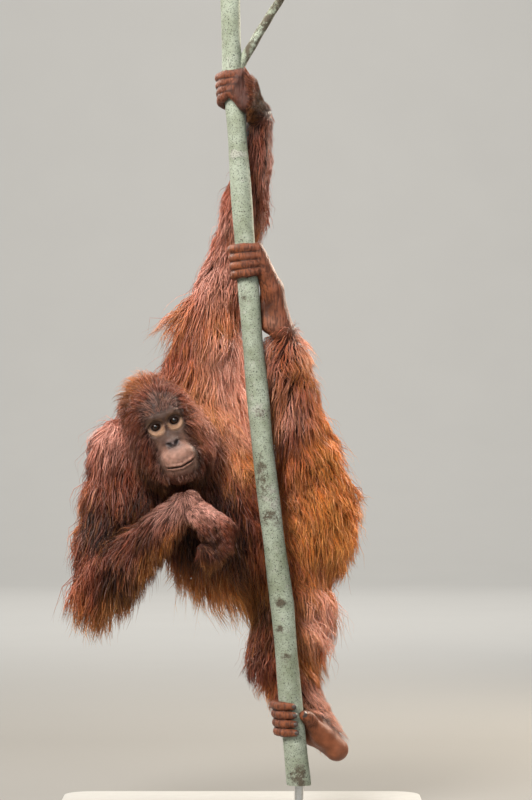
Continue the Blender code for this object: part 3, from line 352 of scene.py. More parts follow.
# Folds of the face: where each runs, how deep it is and how wide
EYE_BAG = (0.0145, 0.0012, 0.0030)
UNDER_EYE = (0.0182, -0.0011, 0.0022)
UPPER_FOLD = (0.0128, -0.0011, 0.0014)
FINE_FOLDS = (0.0034, 0.00034)
MUZZLE_FOLD = (0.0415, -0.0016, 0.0040)


def mirrored(stations):
    return [(-x, y, z, radius) for x, y, z, radius in stations]


def mirrored_form(form):
    centre, radii = form
    return (-centre[0], centre[1], centre[2]), radii


def mouth_height(local):
    """How high the line between the lips is: it rises to its corners and dips a little in the middle."""
    across = local[:, 0] / MOUTH_HALF_WIDTH
    return MOUTH_LEVEL + MOUTH_RISE * across ** 2 - 0.0010 * bump(across, 0.0, 0.25)


def eye_folds(local, side):
    """Height of the lids' folds round one eye."""
    right = local[:, 0] - side * EYE_HALF_SPACING
    up = local[:, 2] + 0.001
    round_eye = np.sqrt((right * 0.92) ** 2 + up ** 2)
    below = ramp(-up, -0.002, 0.006)
    above = ramp(up, -0.001, 0.005)
    front = ramp(local[:, 1], 0.030, 0.016)
    bag = EYE_BAG[1] * bump(round_eye, EYE_BAG[0], EYE_BAG[2]) * below
    crease = UNDER_EYE[1] * bump(round_eye, UNDER_EYE[0], UNDER_EYE[2]) * below
    fold = UPPER_FOLD[1] * bump(round_eye, UPPER_FOLD[0], UPPER_FOLD[2]) * above
    fine = FINE_FOLDS[1] * np.sin(round_eye * 2.0 * math.pi / FINE_FOLDS[0] + right * 60.0)
    fine = fine * bump(round_eye, EYE_BAG[0] + 0.001, 0.0045)
    return (bag + crease + fold + fine) * front


def face_folds(local):
    """Height of the face's folds and fine creases over its plain forms."""
    height = eye_folds(local, 1.0) + eye_folds(local, -1.0)
    right, back, up = local.T
    round_muzzle = np.sqrt((right * 0.95) ** 2 + ((up + 0.078) * 1.0) ** 2)
    beside = ramp(up, -0.075, -0.055) * ramp(up, -0.030, -0.040)
    height = height + MUZZLE_FOLD[1] * bump(round_muzzle, MUZZLE_FOLD[0], MUZZLE_FOLD[2]) * beside
    lip_lines = np.sin(right * 2.0 * math.pi / 0.0034 + 3.0 * np.sin(up * 160.0))
    near_lips = bump(up, mouth_height(local) + 0.001, 0.0085) * ramp(np.abs(right), 0.040, 0.030)
    height = height + 0.00022 * lip_lines * near_lips * ramp(back, 0.012, 0.0)
    broad = ripple(local * np.array((1.6, 1.0, 0.7)), 0.0060, 0.7) + 0.6 * ripple(local, 0.0038, 2.3)
    on_muzzle = bump(up, -0.076, 0.030) * ramp(np.abs(right), 0.046, 0.034)
    height = height + 0.00042 * broad * on_muzzle * ramp(back, 0.020, 0.0)
    brow_lines = np.sin(up * 2.0 * math.pi / 0.0060 + 1.6 * np.sin(right * 70.0))
    on_brow = bump(up, 0.030, 0.009) * ramp(np.abs(right), 0.034, 0.018) * ramp(back, 0.030, 0.018)
    height = height + 0.00028 * brow_lines * on_brow
    bridge = bump(right, 0.0, 0.007) * bump(up, -0.004, 0.010) * ramp(back, 0.014, 0.004)
    return height + 0.00035 * np.sin(up * 2.0 * math.pi / 0.0042) * bridge


# Ears: where the cup stands on the head, its half sizes, and its hollow
EAR_PLACE = (0.0590, 0.052, -0.004)
EAR_RADII = (0.0058, 0.0120, 0.0170)
EAR_HOLLOW_PLACE = (0.0640, 0.0505, -0.003)
EAR_HOLLOW = (0.0052, 0.0085, 0.0125)
EAR_FOLD = ((0.0605, 0.0500, 0.0040, 0.0016), (0.0610, 0.0480, -0.0030, 0.0018), (0.0600, 0.0500, -0.0100, 0.0016))
EAR_BLEND = 0.0012
EAR_ROOT_BLEND = 0.004


def head_field(points):
    """Distance to the head's skin, with its lids, lips, nostrils, folds and ears."""
    local = in_head(points)
    head = ball(local, *SKULL)
    for form in (FOREHEAD, MIDFACE):
        head = smooth_union(head, ball(local, *form), HEAD_BLEND)
    for stations in (JAW, CHEEK):
        head = smooth_union(head, chain(local, stations), HEAD_BLEND)
        head = smooth_union(head, chain(local, mirrored(stations)), HEAD_BLEND)
    head = smooth_union(head, chain(points, NECK), HEAD_BLEND)
    for form in (CHIN, MUZZLE):
        head = smooth_union(head, ball(local, *form), HEAD_BLEND)
    for form in (UPPER_LIP, LOWER_LIP, NOSE_PAD):
        head = smooth_union(head, ball(local, *form), FACE_BLEND)
    for stations in (BROW, NOSE_BRIDGE):
        head = smooth_union(head, chain(local, stations), FACE_BLEND)
    for form in (NOSE_WING, mirrored_form(NOSE_WING)):
        head = smooth_union(head, ball(local, *form), 0.005)
    for form in (SOCKET, mirrored_form(SOCKET)):
        head = smooth_cut(head, ball(local, *form), SOCKET_BLEND)
    gap = np.abs(local[:, 2] - mouth_height(local))
    in_mouth = np.clip((MOUTH_HALF_WIDTH + 0.004 - np.abs(local[:, 0])) / MOUTH_CORNER, 0.0, 1.0)
    front = np.clip((LIP_BACK - local[:, 1]) / MOUTH_CORNER, 0.0, 1.0)
    head = head - bump(gap, LIP_PLACE, LIP_SPREAD) * LIP_SWELL * in_mouth * front
    groove = np.maximum(gap - MOUTH_GROOVE, -(head + MOUTH_DEPTH))
    groove = np.maximum(groove, np.maximum(np.abs(local[:, 0]) - MOUTH_HALF_WIDTH, local[:, 1] - MOUTH_BACK))
    head = smooth_cut(head, groove, GROOVE_BLEND)
    for stations in (NOSTRIL, mirrored(NOSTRIL)):
        head = smooth_cut(head, chain(local, stations), NOSTRIL_BLEND)
    for side in (-1.0, 1.0):
        eye = (side * EYE_HALF_SPACING, EYE_DEPTH, 0.0)
        head = smooth_union(head, ball(local, eye, (EYE_RADIUS + LID_THICKNESS,) * 3), LID_BLEND)
    head = head - face_folds(local)
    for side in (-1.0, 1.0):
        eye = (side * EYE_HALF_SPACING, EYE_DEPTH, 0.0)
        head = np.maximum(head, -ball(local, eye, (EYE_RADIUS,) * 3))
        opening = (eye[0], eye[1] - EYE_RADIUS, LID_DROP)
        slit = ball(local, opening, (LID_OPENING[0], LID_SLIT_DEPTH, LID_OPENING[1]))
        head = smooth_cut(head, slit, LID_EDGE_BLEND)
    sided = local * np.array((1.0, 1.0, 1.0))
    sided[:, 0] = np.abs(sided[:, 0])
    ear = smooth_cut(ball(sided, EAR_PLACE, EAR_RADII), ball(sided, EAR_HOLLOW_PLACE, EAR_HOLLOW), EAR_BLEND)
    ear = smooth_union(ear, chain(sided, EAR_FOLD), EAR_BLEND)
    return smooth_union(head, ear, EAR_ROOT_BLEND)


# Hands and feet. Angles go round the sapling, from its +X side towards its front, in degrees
DIGITS = 4
FINGER_SPACING = 0.0182
TOE_SPACING = 0.0174
HAND_LEFT_RADII = (0.0082, 0.0080, 0.0066)
TOE_RADII = (0.0088, 0.0082, 0.0068)
KNUCKLE_RADIUS = 0.0105
DIGIT_LIFT = 0.94
DIGIT_BEND = 0.003
DIGIT_BLEND = 0.0018
PALM_BLEND = 0.010
LIMB_END_RADIUS = 0.0255
DIGIT_STATIONS = 13
JOINT_SHARES = (0.36, 0.72)
JOINT_SWELL = 0.0015
JOINT_SPREAD = 0.07
GRIPS = {
    "hand_left": {
        "top": 1.496, "spacing": 0.0126, "off": 0.0110, "radii": HAND_LEFT_RADII,
        "angle": 56.0, "fan": 15.0, "lead": 2.0, "end_angle": 226.0, "drop": 0.010, "drop_fan": 0.0050,
    },
    "foot_left": {
        "top": 1.149, "spacing": 0.0150, "off": 0.0120, "radii": TOE_RADII,
        "angle": 40.0, "fan": -7.0, "lead": 2.0, "end_angle": 205.0, "drop": 0.004, "drop_fan": 0.003,
    },
    "foot_right": {
        "top": 0.236, "spacing": TOE_SPACING, "off": 0.0125, "radii": TOE_RADII,
        "angle": 240.0, "fan": 4.0, "lead": -2.0, "end_angle": 84.0, "drop": 0.002, "drop_fan": 0.0,
    },
}
# The thumb or big toe on the sapling: start and end angle, start and end height, radii
FIRST_DIGITS = {
    "hand_left": (-20.0, -120.0, 1.436, 1.442, (0.0125, 0.0110, 0.0085)),
    "foot_left": (-25.0, -110.0, 1.030, 1.042, (0.0125, 0.0115, 0.0090)),
    "foot_right": (-28.0, 42.0, 0.196, 0.216, (0.0130, 0.0125, 0.0100)),
}
HAND_LEFT_PALM = 0.0150
HAND_LEFT_MIDDLE = (-46.0, -0.024, 0.0140, 0.0115)
FOOT_LEFT_HEEL = (0.009, 0.016, 0.998, 0.0180)
FOOT_LEFT_HOLLOW = (-0.003, 0.014, 1.040, 0.0130)
FOOT_LEFT_SOLE = ((0.016, 0.004, 1.070, 0.0160), (-0.002, 0.005, -0.006, 0.0), 0.0180)
FOOT_RIGHT_HEEL = (0.142, 0.040, 0.142, 0.0195)
FOOT_RIGHT_SOLE = ((0.096, 0.040, 0.196, 0.0155), (-0.002, 0.0, -0.009, 0.0), 0.0165)
FOOT_RIGHT_INSTEP = ((0.142, 0.036, 0.143, 0.0210), (0.112, 0.022, 0.172, 0.0195), (0.086, 0.000, 0.204, 0.0135))
# The free hand's first finger, and how each next one differs from it
HAND_RIGHT_PALM = 0.0160
HAND_RIGHT_KNUCKLE = ((-0.082, -0.114, 0.600, 0.0120), (0.003, 0.0182, -0.004, 0.0))
HAND_RIGHT_FINGER = (
    ((-0.082, -0.114, 0.600, 0.0112), (0.003, 0.0182, -0.004, 0.0)),
    ((-0.082, -0.112, 0.562, 0.0104), (0.0, 0.0182, -0.004, 0.0)),
    ((-0.102, -0.110, 0.545, 0.0094), (0.0, 0.0182, -0.004, 0.0)),
    ((-0.124, -0.109, 0.556, 0.0080), (0.0, 0.0182, -0.004, 0.0)),
)
HAND_RIGHT_THUMB = (
    (-0.140, -0.105, 0.620, 0.0125), (-0.122, -0.118, 0.590, 0.0115), (-0.106, -0.120, 0.574, 0.0090),
)
HAND_STEP = 0.0013


def sapling_at(height):
    """The sapling's centre and radius at a height."""
    heights = [point[2] for point in SAPLING_LINE]
    x = float(np.interp(height, heights, [point[0] for point in SAPLING_LINE]))
    share = (height - heights[0]) / (heights[-1] - heights[0])
    radius = SAPLING_FOOT_RADIUS + share * (SAPLING_TOP_RADIUS - SAPLING_FOOT_RADIUS)
    return np.array((x, 0.0, height)), radius


def beside_sapling(angle, height, off):
    """A point off the sapling's bark; 0 degrees is its +X side and 90 degrees its front."""
    centre, radius = sapling_at(height)
    turn = math.radians(angle)
    return centre + (radius + off) * np.array((math.cos(turn), -math.sin(turn), 0.0))


def swollen(radius, share):
    """A digit's radius with its joints."""
    return radius + JOINT_SWELL * sum(math.exp(-(((share - at) / JOINT_SPREAD) ** 2)) for at in JOINT_SHARES)


def wrapped(start_angle, end_angle, start_height, end_height, radii):
    """Stations of a finger or toe that lies round the sapling."""
    stations = []
    for index in range(DIGIT_STATIONS):
        share = index / (DIGIT_STATIONS - 1)
        radius = float(np.interp(share, (0.0, 0.5, 1.0), radii))
        angle = start_angle + (end_angle - start_angle) * share
        height = start_height + (end_height - start_height) * share
        stations.append((*beside_sapling(angle, height, radius * DIGIT_LIFT), swollen(radius, share)))
    return stations


def stepped(first, step, index):
    """A station some steps on from the first one."""
    return tuple(np.array(first) + index * np.array(step))


def limb_end(points, limb_name, joint, radius):
    """The wrist or ankle, run on from its limb."""
    start = between(LIMBS[limb_name][-2][:3], joint, 0.35)
    return chain(points, [(*start, LIMB_END_RADIUS), (*joint, radius + 0.002)])


def digit_stations(name):
    """The stations of a gripping hand's or foot's four digits, and its knuckles."""
    shape = GRIPS[name]
    digits = []
    knuckles = []
    for digit in range(DIGITS):
        height = shape["top"] - shape["spacing"] * digit
        angle = shape["angle"] + shape["fan"] * digit
        knuckles.append((*beside_sapling(angle, height, shape["off"]), KNUCKLE_RADIUS))
        end_height = height - shape["drop"] - shape["drop_fan"] * digit
        digits.append(wrapped(angle + shape["lead"], shape["end_angle"], height, end_height, shape["radii"]))
    return digits, knuckles


def grip(points, hand, name, bones):
    """Add four digits and a thumb or big toe round the sapling; bones are the stations before each knuckle."""
    digits, knuckles = digit_stations(name)
    for bone, knuckle in zip(bones, knuckles):
        hand = smooth_union(hand, chain(points, bone + [knuckle]), PALM_BLEND)
    for stations in digits + [wrapped(*FIRST_DIGITS[name])]:
        hand = smooth_union(hand, chain(points, stations, blend=DIGIT_BEND), DIGIT_BLEND)
    return clear_of_sapling(points, hand)


SAPLING_CLEARANCE = 0.0006


def sapling_field(points):
    """Distance to the sapling's bark."""
    heights = np.array([point[2] for point in SAPLING_LINE])
    x = np.interp(points[:, 2], heights, [point[0] for point in SAPLING_LINE])
    share = np.clip((points[:, 2] - heights[0]) / (heights[-1] - heights[0]), 0.0, 1.0)
    radius = SAPLING_FOOT_RADIUS + share * (SAPLING_TOP_RADIUS - SAPLING_FOOT_RADIUS)
    return np.hypot(points[:, 0] - x, points[:, 1]) - radius


def clear_of_sapling(points, hand):
    return np.maximum(hand, SAPLING_CLEARANCE - sapling_field(points))


def hand_left_field(points):
    """The upper hand, gripping the sapling from its +X side."""
    hand = limb_end(points, "forearm_left", LEFT_WRIST, FOREARM_RADII[-1])
    turn, lower, off, radius = HAND_LEFT_MIDDLE
    shape = GRIPS["hand_left"]
    bones = []
    for digit in range(DIGITS):
        angle = shape["angle"] + shape["fan"] * digit + turn
        height = shape["top"] - shape["spacing"] * digit + lower
        bones.append([(*LEFT_WRIST, HAND_LEFT_PALM), (*beside_sapling(angle, height, off), radius)])
    return grip(points, hand, "hand_left", bones)


def foot_left_field(points):
    """The upper foot, gripping the sapling with its sole on the +X side."""
    foot = limb_end(points, "shank_left", LEFT_ANKLE, SHANK_RADII[-1])
    heel = [(*LEFT_ANKLE, SHANK_RADII[-1]), FOOT_LEFT_HEEL, FOOT_LEFT_HOLLOW]
    foot = smooth_union(foot, chain(points, heel), PALM_BLEND)
    middle, step, ankle_radius = FOOT_LEFT_SOLE
    bones = [[(*LEFT_ANKLE, ankle_radius), stepped(middle, step, toe)] for toe in range(DIGITS)]
    return grip(points, foot, "foot_left", bones)


def foot_right_field(points):
    """The lower foot, passing behind the sapling with its toes round the -X side to the front."""
    foot = limb_end(points, "shank_right", RIGHT_ANKLE, SHANK_RADII[-1])
    heel = [(*RIGHT_ANKLE, SHANK_RADII[-1]), FOOT_RIGHT_HEEL]
    foot = smooth_union(foot, chain(points, heel), PALM_BLEND)
    middle, step, heel_radius = FOOT_RIGHT_SOLE
    foot = smooth_union(foot, chain(points, FOOT_RIGHT_INSTEP), PALM_BLEND)
    bones = [[(*FOOT_RIGHT_HEEL[:3], heel_radius), stepped(middle, step, toe)] for toe in range(DIGITS)]
    return grip(points, foot, "foot_right", bones)


def free_fingers():
    """Stations of the free hand's fingers, smoothed between their joints and swollen at them."""
    fingers = []
    for finger in range(DIGITS):
        joints = np.array([stepped(first, step, finger) for first, step in HAND_RIGHT_FINGER])
        stations = []
        for start, end in zip(joints[:-1], joints[1:]):
            stations += [tuple(between(start, end, share)) for share in (0.0, 0.25, 0.5, 0.75)]
        stations.append(tuple(joints[-1]))
        shares = np.linspace(0.0, 1.0, len(stations))
        fingers.append([(*s[:3], swollen(s[3], share)) for s, share in zip(stations, shares)])
    return fingers


def hand_right_field(points):
    """The lower hand, loosely closed in front of the chest."""
    hand = limb_end(points, "forearm_right", RIGHT_WRIST, FOREARM_RADII[-1])
    for finger in range(DIGITS):
        bone = [(*RIGHT_WRIST, HAND_RIGHT_PALM), stepped(*HAND_RIGHT_KNUCKLE, finger)]
        hand = smooth_union(hand, chain(points, bone), PALM_BLEND)
    for stations in free_fingers():
        hand = smooth_union(hand, chain(points, stations, blend=DIGIT_BEND), DIGIT_BLEND)
    return smooth_union(hand, chain(points, HAND_RIGHT_THUMB, blend=DIGIT_BEND), DIGIT_BLEND)


HANDS = {
    "hand_left": (hand_left_field, (-0.13, -0.075, 1.33), (0.055, 0.085, 1.55)),
    "hand_right": (hand_right_field, (-0.25, -0.155, 0.500), (-0.04, 0.02, 0.70)),
    "foot_left": (foot_left_field, (-0.09, -0.07, 0.90), (0.085, 0.09, 1.20)),
    "foot_right": (foot_right_field, (-0.03, -0.07, 0.095), (0.195, 0.12, 0.29)),
}
FLESH_NODES = ("torso", "neck", "head", "ear_left", "ear_right", *LIMBS, *HANDS)


def evaluated(obj):
    """Put an object's modifiers into its mesh."""
    depsgraph = bpy.context.evaluated_depsgraph_get()
    mesh = bpy.data.meshes.new_from_object(obj.evaluated_get(depsgraph))
    obj.modifiers.clear()
    old = obj.data
    obj.data = mesh
    bpy.data.meshes.remove(old)


def thin_out(obj, faces):
    """Collapse edges until about that many triangles are left, keeping the finest where the form turns."""
    change = obj.modifiers.new("thin_out", "DECIMATE")
    change.ratio = min(1.0, faces / (2.0 * len(obj.data.polygons)))
    change.use_collapse_triangulate = True
    evaluated(obj)


def joined(obj, others):
    """One closed surface from overlapping ones."""
    group = bpy.data.collections.new("group")
    for other in others:
        group.objects.link(other)
    change = obj.modifiers.new("joined", "BOOLEAN")
    change.operation = "UNION"
    change.solver = "MANIFOLD"
    change.operand_type = "COLLECTION"
    change.collection = group
    evaluated(obj)
    for other in others:
        bpy.data.objects.remove(other)
    bpy.data.collections.remove(group)


SKIN_FACES = {"body": 60000, "face": 64000, "hand_left": 14000, "hand_right": 15000, "foot_left": 15000, "foot_right": 15000}


def skin_part():
    """One closed skin: body, head, hands and feet joined where they overlap under the hair."""
    skin = mesh_object("skin", *carve(body_field, BODY_LOW, BODY_HIGH, BODY_STEP))
    thin_out(skin, SKIN_FACES["body"])
    others = [mesh_object("skin_face", *carve(head_field, HEAD_LOW, HEAD_HIGH, HEAD_STEP))]
    thin_out(others[0], SKIN_FACES["face"])
    for name, (field, low, high) in HANDS.items():
        others.append(mesh_object("skin_" + name, *carve(field, low, high, HAND_STEP)))
        thin_out(others[-1], SKIN_FACES[name])
    joined(skin, others)
    skin.data.shade_smooth()
    return skin


# Where each region of the coat lies: its bones, and how far a point is from them and along them
BONES = {
    "head": ((*from_head((0.0, 0.064, 0.020)), 0.052), (*from_head((0.0, 0.010, -0.060)), 0.038)),
    "neck": NECK,
    "torso": TORSO,
    **{name: stations for name, stations in LIMBS.items()},
}
REGIONS = tuple(BONES)
REGION_SOFTNESS = 0.014


def along_bones(points, stations, flatten=None):
    """Distance to a chain of bones' surface, and the share of its length at the nearest point."""
    lengths = [math.dist(a[:3], b[:3]) for a, b in zip(stations[:-1], stations[1:])]
    whole = sum(lengths)
    best = np.full(len(points), np.inf)
    along = np.zeros(len(points))
    before = 0.0
    for start, end, length in zip(stations[:-1], stations[1:], lengths):
        span = np.subtract(end[:3], start[:3])
        share = np.clip((points - np.array(start[:3])) @ span / (span @ span), 0.0, 1.0)
        away = points - np.array(start[:3]) - share[:, None] * span
        if flatten is not None:
            axis = unit(flatten[0])
            away = away + ((flatten[1] - 1.0) * (away @ axis))[:, None] * axis
        distance = np.sqrt((away * away).sum(axis=1)) - (start[3] + share * (end[3] - start[3]))
        nearer = distance < best
        best[nearer] = distance[nearer]
        along[nearer] = ((before + share * length) / whole)[nearer]
        before += length
    return best, along


def region_shares(points):
    """How much each region has of a point, and how far along each region's bones it is."""
    distances = []
    alongs = []
    for name in REGIONS:
        distance, along = along_bones(points, BONES[name], TORSO_FLATTEN if name == "torso" else None)
        distances.append(distance)
        alongs.append(along)
    distances = np.array(distances)
    shares = np.exp(-(distances - distances.min(axis=0)) / REGION_SOFTNESS)
    return shares / shares.sum(axis=0), np.array(alongs)


# The coat of each region: hair length at the start and end of its bones, lift, lie and thickness of the coat
COATS = {
    "head": (0.040, 0.048, 0.18, (0.0, 0.15, -1.0), 0.008),
    "neck": (0.090, 0.080, 0.30, (0.10, 0.20, -1.0), 0.018),
    "torso": (0.095, 0.090, 0.32, (0.42, 0.05, -1.0), 0.020),
    "arm_upper_left": (0.115, 0.080, 0.34, (-0.30, 0.10, -1.0), 0.014),
    "forearm_left": (0.075, 0.028, 0.26, (-0.14, 0.10, -1.0), 0.008),
    "arm_upper_right": (0.100, 0.105, 0.30, (-0.12, 0.05, -1.0), 0.017),
    "forearm_right": (0.095, 0.028, 0.30, (-0.42, 0.10, -1.0), 0.011),
    "thigh_left": (0.100, 0.078, 0.52, (0.60, 0.15, -1.0), 0.018),
    "shank_left": (0.072, 0.028, 0.50, (0.62, 0.15, -1.0), 0.011),
    "thigh_right": (0.100, 0.082, 0.50, (0.48, 0.10, -1.0), 0.018),
    "shank_right": (0.066, 0.026, 0.36, (0.30, 0.00, -1.0), 0.010),
}
# Places with longer hair: place, spread, how much longer, which way it leans and how much more it lifts
LONG_SPOTS = (
    ((-0.335, 0.060, 0.500), 0.060, 0.030, (0.05, 0.0, -0.8), 0.0),
    ((-0.380, 0.100, 0.600), 0.060, 0.015, (-0.20, 0.0, -0.4), 0.3),
    ((-0.235, 0.080, 0.680), 0.060, 0.060, (0.30, -0.3, -1.2), 0.3),
    ((-0.228, 0.110, 0.712), 0.045, 0.060, (-0.70, -0.1, -1.2), 0.4),
    ((-0.262, 0.090, 0.660), 0.045, 0.050, (0.60, -0.1, -1.0), 0.4),
    ((-0.140, 0.110, 1.045), 0.045, 0.035, (-0.60, 0.0, -0.3), 1.1),
    ((-0.085, 0.110, 0.960), 0.060, 0.060, (0.60, 0.0, -0.9), 0.5),
    ((-0.080, 0.120, 0.860), 0.060, 0.060, (0.80, -0.1, -0.7), 0.5),
    ((-0.130, 0.110, 0.520), 0.060, 0.065, (0.05, 0.0, -1.2), 0.2),
    ((-0.045, 0.110, 0.500), 0.055, 0.075, (0.05, 0.0, -1.2), 0.2),
    ((0.150, 0.110, 0.650), 0.080, 0.010, (0.75, 0.0, -0.10), 0.5),
    ((0.110, 0.080, 0.780), 0.060, 0.010, (0.60, 0.0, -0.10), 0.4),
    ((0.090, 0.120, 0.450), 0.070, 0.035, (0.95, 0.0, -0.10), 0.5),
    ((0.070, 0.100, 0.360), 0.050, 0.025, (0.80, 0.0, 0.00), 0.5),
    ((-0.010, 0.080, 0.380), 0.045, 0.025, (-0.70, 0.0, -0.5), 0.5),
    ((0.030, 0.030, 0.950), 0.045, 0.040, (-1.40, 0.0, -0.6), 0.6),
    ((0.030, 0.030, 0.870), 0.050, 0.035, (-1.40, 0.0, -0.6), 0.6),
    ((0.030, 0.030, 0.780), 0.040, 0.015, (-0.80, 0.0, -0.6), 0.5),
    ((0.030, 0.010, 0.975), 0.030, 0.015, (-1.60, -0.4, 0.2), 0.4),
    ((0.140, 0.060, 0.165), 0.030, 0.020, (0.10, 0.2, -1.0), 0.3),
    ((-0.262, -0.005, 0.880), 0.045, 0.020, (-0.9, 0.2, 0.6), 1.0),
    ((-0.270, 0.010, 0.820), 0.035, 0.008, (-0.9, 0.2, -0.2), 0.6),
    ((-0.150, 0.000, 0.780), 0.045, 0.050, (0.55, 0.1, -0.9), 0.1),
)
# Places with a warmer, a darker or a paler coat: place, spread and amount. Warm spots are the coat's own orange
# brightened by a painted glow where its fringes are backlit, shade spots are painted shade, and sheen spots are a
# painted pink sheen
WARM_AND_GLOW_SPOTS = (
    ((0.140, 0.080, 0.600), 0.100, 1.40),
    ((0.130, 0.060, 0.720), 0.080, 1.20),
    ((0.120, 0.060, 0.820), 0.060, 0.80),
    ((0.090, 0.050, 0.930), 0.060, 1.20),
    ((0.110, 0.100, 0.420), 0.085, 1.40),
    ((0.120, 0.080, 0.330), 0.065, 0.85),
    ((0.110, 0.060, 0.220), 0.060, 0.60),
    ((-0.385, 0.060, 0.385), 0.060, 1.50),
    ((-0.300, 0.060, 0.400), 0.040, 0.60),
    ((-0.400, 0.110, 0.600), 0.050, 0.75),
    ((-0.060, 0.060, 0.850), 0.085, 1.40),
    ((-0.030, 0.060, 0.740), 0.060, 0.85),
    ((-0.080, 0.080, 0.980), 0.060, 0.80),
    ((-0.175, 0.110, 1.010), 0.050, 0.65),
    ((-0.060, 0.110, 1.180), 0.050, 0.35),
    ((-0.275, 0.000, 0.880), 0.040, 0.55),
    ((-0.160, 0.110, 0.445), 0.055, 1.60),
    ((-0.080, 0.110, 0.430), 0.060, 1.60),
    ((-0.200, 0.110, 0.480), 0.045, 1.20),
)
# Painted shade: the chest under the chin, the belly, the inner arms and legs and the undersides, darkened as in
# shadow
SHADE_SPOTS = (
    ((-0.160, -0.030, 0.690), 0.065, 1.40),
    ((-0.120, -0.020, 0.680), 0.055, 1.40),
    ((-0.228, -0.030, 0.690), 0.050, 1.20),
    ((-0.090, 0.000, 0.630), 0.070, 1.00),
    ((-0.080, 0.000, 0.560), 0.075, 1.35),
    ((-0.160, 0.000, 0.560), 0.060, 1.35),
    ((-0.110, 0.010, 0.510), 0.045, 1.30),
    ((-0.170, 0.015, 0.520), 0.042, 1.20),
    ((-0.050, 0.020, 0.510), 0.045, 1.20),
    ((-0.240, 0.020, 0.610), 0.070, 1.40),
    ((-0.330, 0.010, 0.600), 0.070, 1.50),
    ((-0.300, 0.000, 0.490), 0.060, 1.10),
    ((-0.345, 0.060, 0.520), 0.050, 0.60),
    ((-0.300, 0.040, 0.690), 0.045, 0.55),
    ((0.000, 0.060, 0.430), 0.055, 0.95),
    ((-0.010, 0.060, 0.340), 0.045, 0.85),
    ((-0.235, -0.040, 0.560), 0.050, 0.90),
    ((-0.110, -0.110, 0.560), 0.042, 1.30),
    ((0.020, 0.040, 0.840), 0.045, 0.80),
    ((0.020, 0.040, 0.760), 0.040, 0.60),
    ((-0.030, 0.000, 1.440), 0.065, 1.00),
    ((-0.010, 0.040, 1.330), 0.045, 0.40),
)
# Painted pink sheen where the coat catches the light
SHEEN_SPOTS = (
    ((-0.220, -0.080, 0.640), 0.050, 1.20),
    ((-0.165, -0.100, 0.640), 0.050, 1.50),
    ((-0.110, -0.110, 0.632), 0.032, 1.20),
    ((-0.290, -0.020, 0.530), 0.035, 0.35),
    ((-0.115, 0.010, 0.820), 0.055, 1.00),
    ((-0.100, 0.010, 0.760), 0.050, 0.90),
    ((-0.100, 0.080, 1.080), 0.090, 0.60),
    ((-0.060, 0.080, 1.200), 0.050, 0.75),
    ((-0.050, 0.060, 0.900), 0.075, 1.50),
    ((-0.040, 0.060, 0.820), 0.060, 1.20),
    ((0.135, 0.080, 0.400), 0.060, 1.60),
    ((0.050, 0.020, 0.810), 0.035, 0.85),
    ((-0.310, 0.060, 0.780), 0.065, 0.65),
    ((-0.240, -0.010, 0.760), 0.040, 0.65),
    ((0.020, 0.040, 1.300), 0.060, 0.45),
    ((0.070, 0.040, 0.960), 0.050, 0.55),
    ((0.120, 0.050, 0.230), 0.060, 0.80),
)


def spots(points, places):
    """How strong the strongest of some soft round spots is at each point."""
    strength = np.zeros(len(points))
    for place, spread, amount in places:
        away = ((points - np.array(place)) ** 2).sum(axis=1) / spread ** 2
        strength = np.maximum(strength, amount * np.exp(-away))
    return strength


def ripple(points, size, phase):
    """Smooth waves in space, from -1 to 1, about size across."""
    turns = np.array(((1.0, 0.6, -0.4), (-0.5, 1.0, 0.7), (0.3, -0.8, 1.0)))
    waves = np.sin(points @ turns.T * (2.0 * math.pi / (size * 2.2)) + phase + np.array((0.0, 1.7, 3.9)))
    return waves.sum(axis=1) / 3.0


def tones_and_painted_light(points, normals):
    """Tone, warmth and paleness of the animal's colour at points, with painted light in them: painted shade on the
    shade spots and undersides, a painted glow on the warm spots and down-facing hair, and a painted pink sheen on the
    sheen spots and up-facing hair. Skin and coat both take theirs from it.
    """
    dark = spots(points, SHADE_SPOTS)
    local = in_head(points)
    half = np.interp(local[:, 2], FACE_HEIGHTS, FACE_HALF_WIDTHS) + FRAME_WIDTH
    frames = ramp(half - np.abs(local[:, 0]), -0.004, 0.016) * ramp(local[:, 1], 0.070, 0.030)
    dark = np.maximum(dark, FRAME_DARK * frames * ramp(local[:, 2], 0.100, 0.060) * ramp(local[:, 2], -0.150, -0.125))
    off_head = ramp(np.linalg.norm(local - np.array(HEAD_CENTRE), axis=1), HEAD_REACH * 0.8, HEAD_REACH)
    # Down-facing places get painted shade in their tone and a painted glow in their warmth
    under = ramp(-normals[:, 2], 0.1, 0.8) * off_head
    dark = np.minimum(np.maximum(dark, HEAD_DARK * (1.0 - off_head) * ramp(local[:, 0], 0.075, 0.035)), 1.0)
    tone = np.clip(0.70 - 0.70 * dark - 0.10 * under + 0.12 * ripple(points, 0.05, 0.4), 0.02, 1.0)
    warm_and_glow = np.minimum(np.maximum(spots(points, WARM_AND_GLOW_SPOTS), 0.60 * under), 1.0) * (1.0 - 0.85 * dark)
    warm_and_glow = np.clip(warm_and_glow + 0.12 * ripple(points, 0.07, 2.0), 0.0, 1.0)
    # Up-facing coat off the head gets a painted pink sheen
    top = ramp(normals[:, 2], 0.2, 0.9) * 0.35 * off_head
    pale = np.minimum(np.maximum(spots(points, SHEEN_SPOTS), top), 1.1) + 0.10 * ripple(points, 0.04, 5.0)
    return tone, warm_and_glow, np.clip(pale, 0.0, 1.0) * (1.0 - 0.92 * dark)


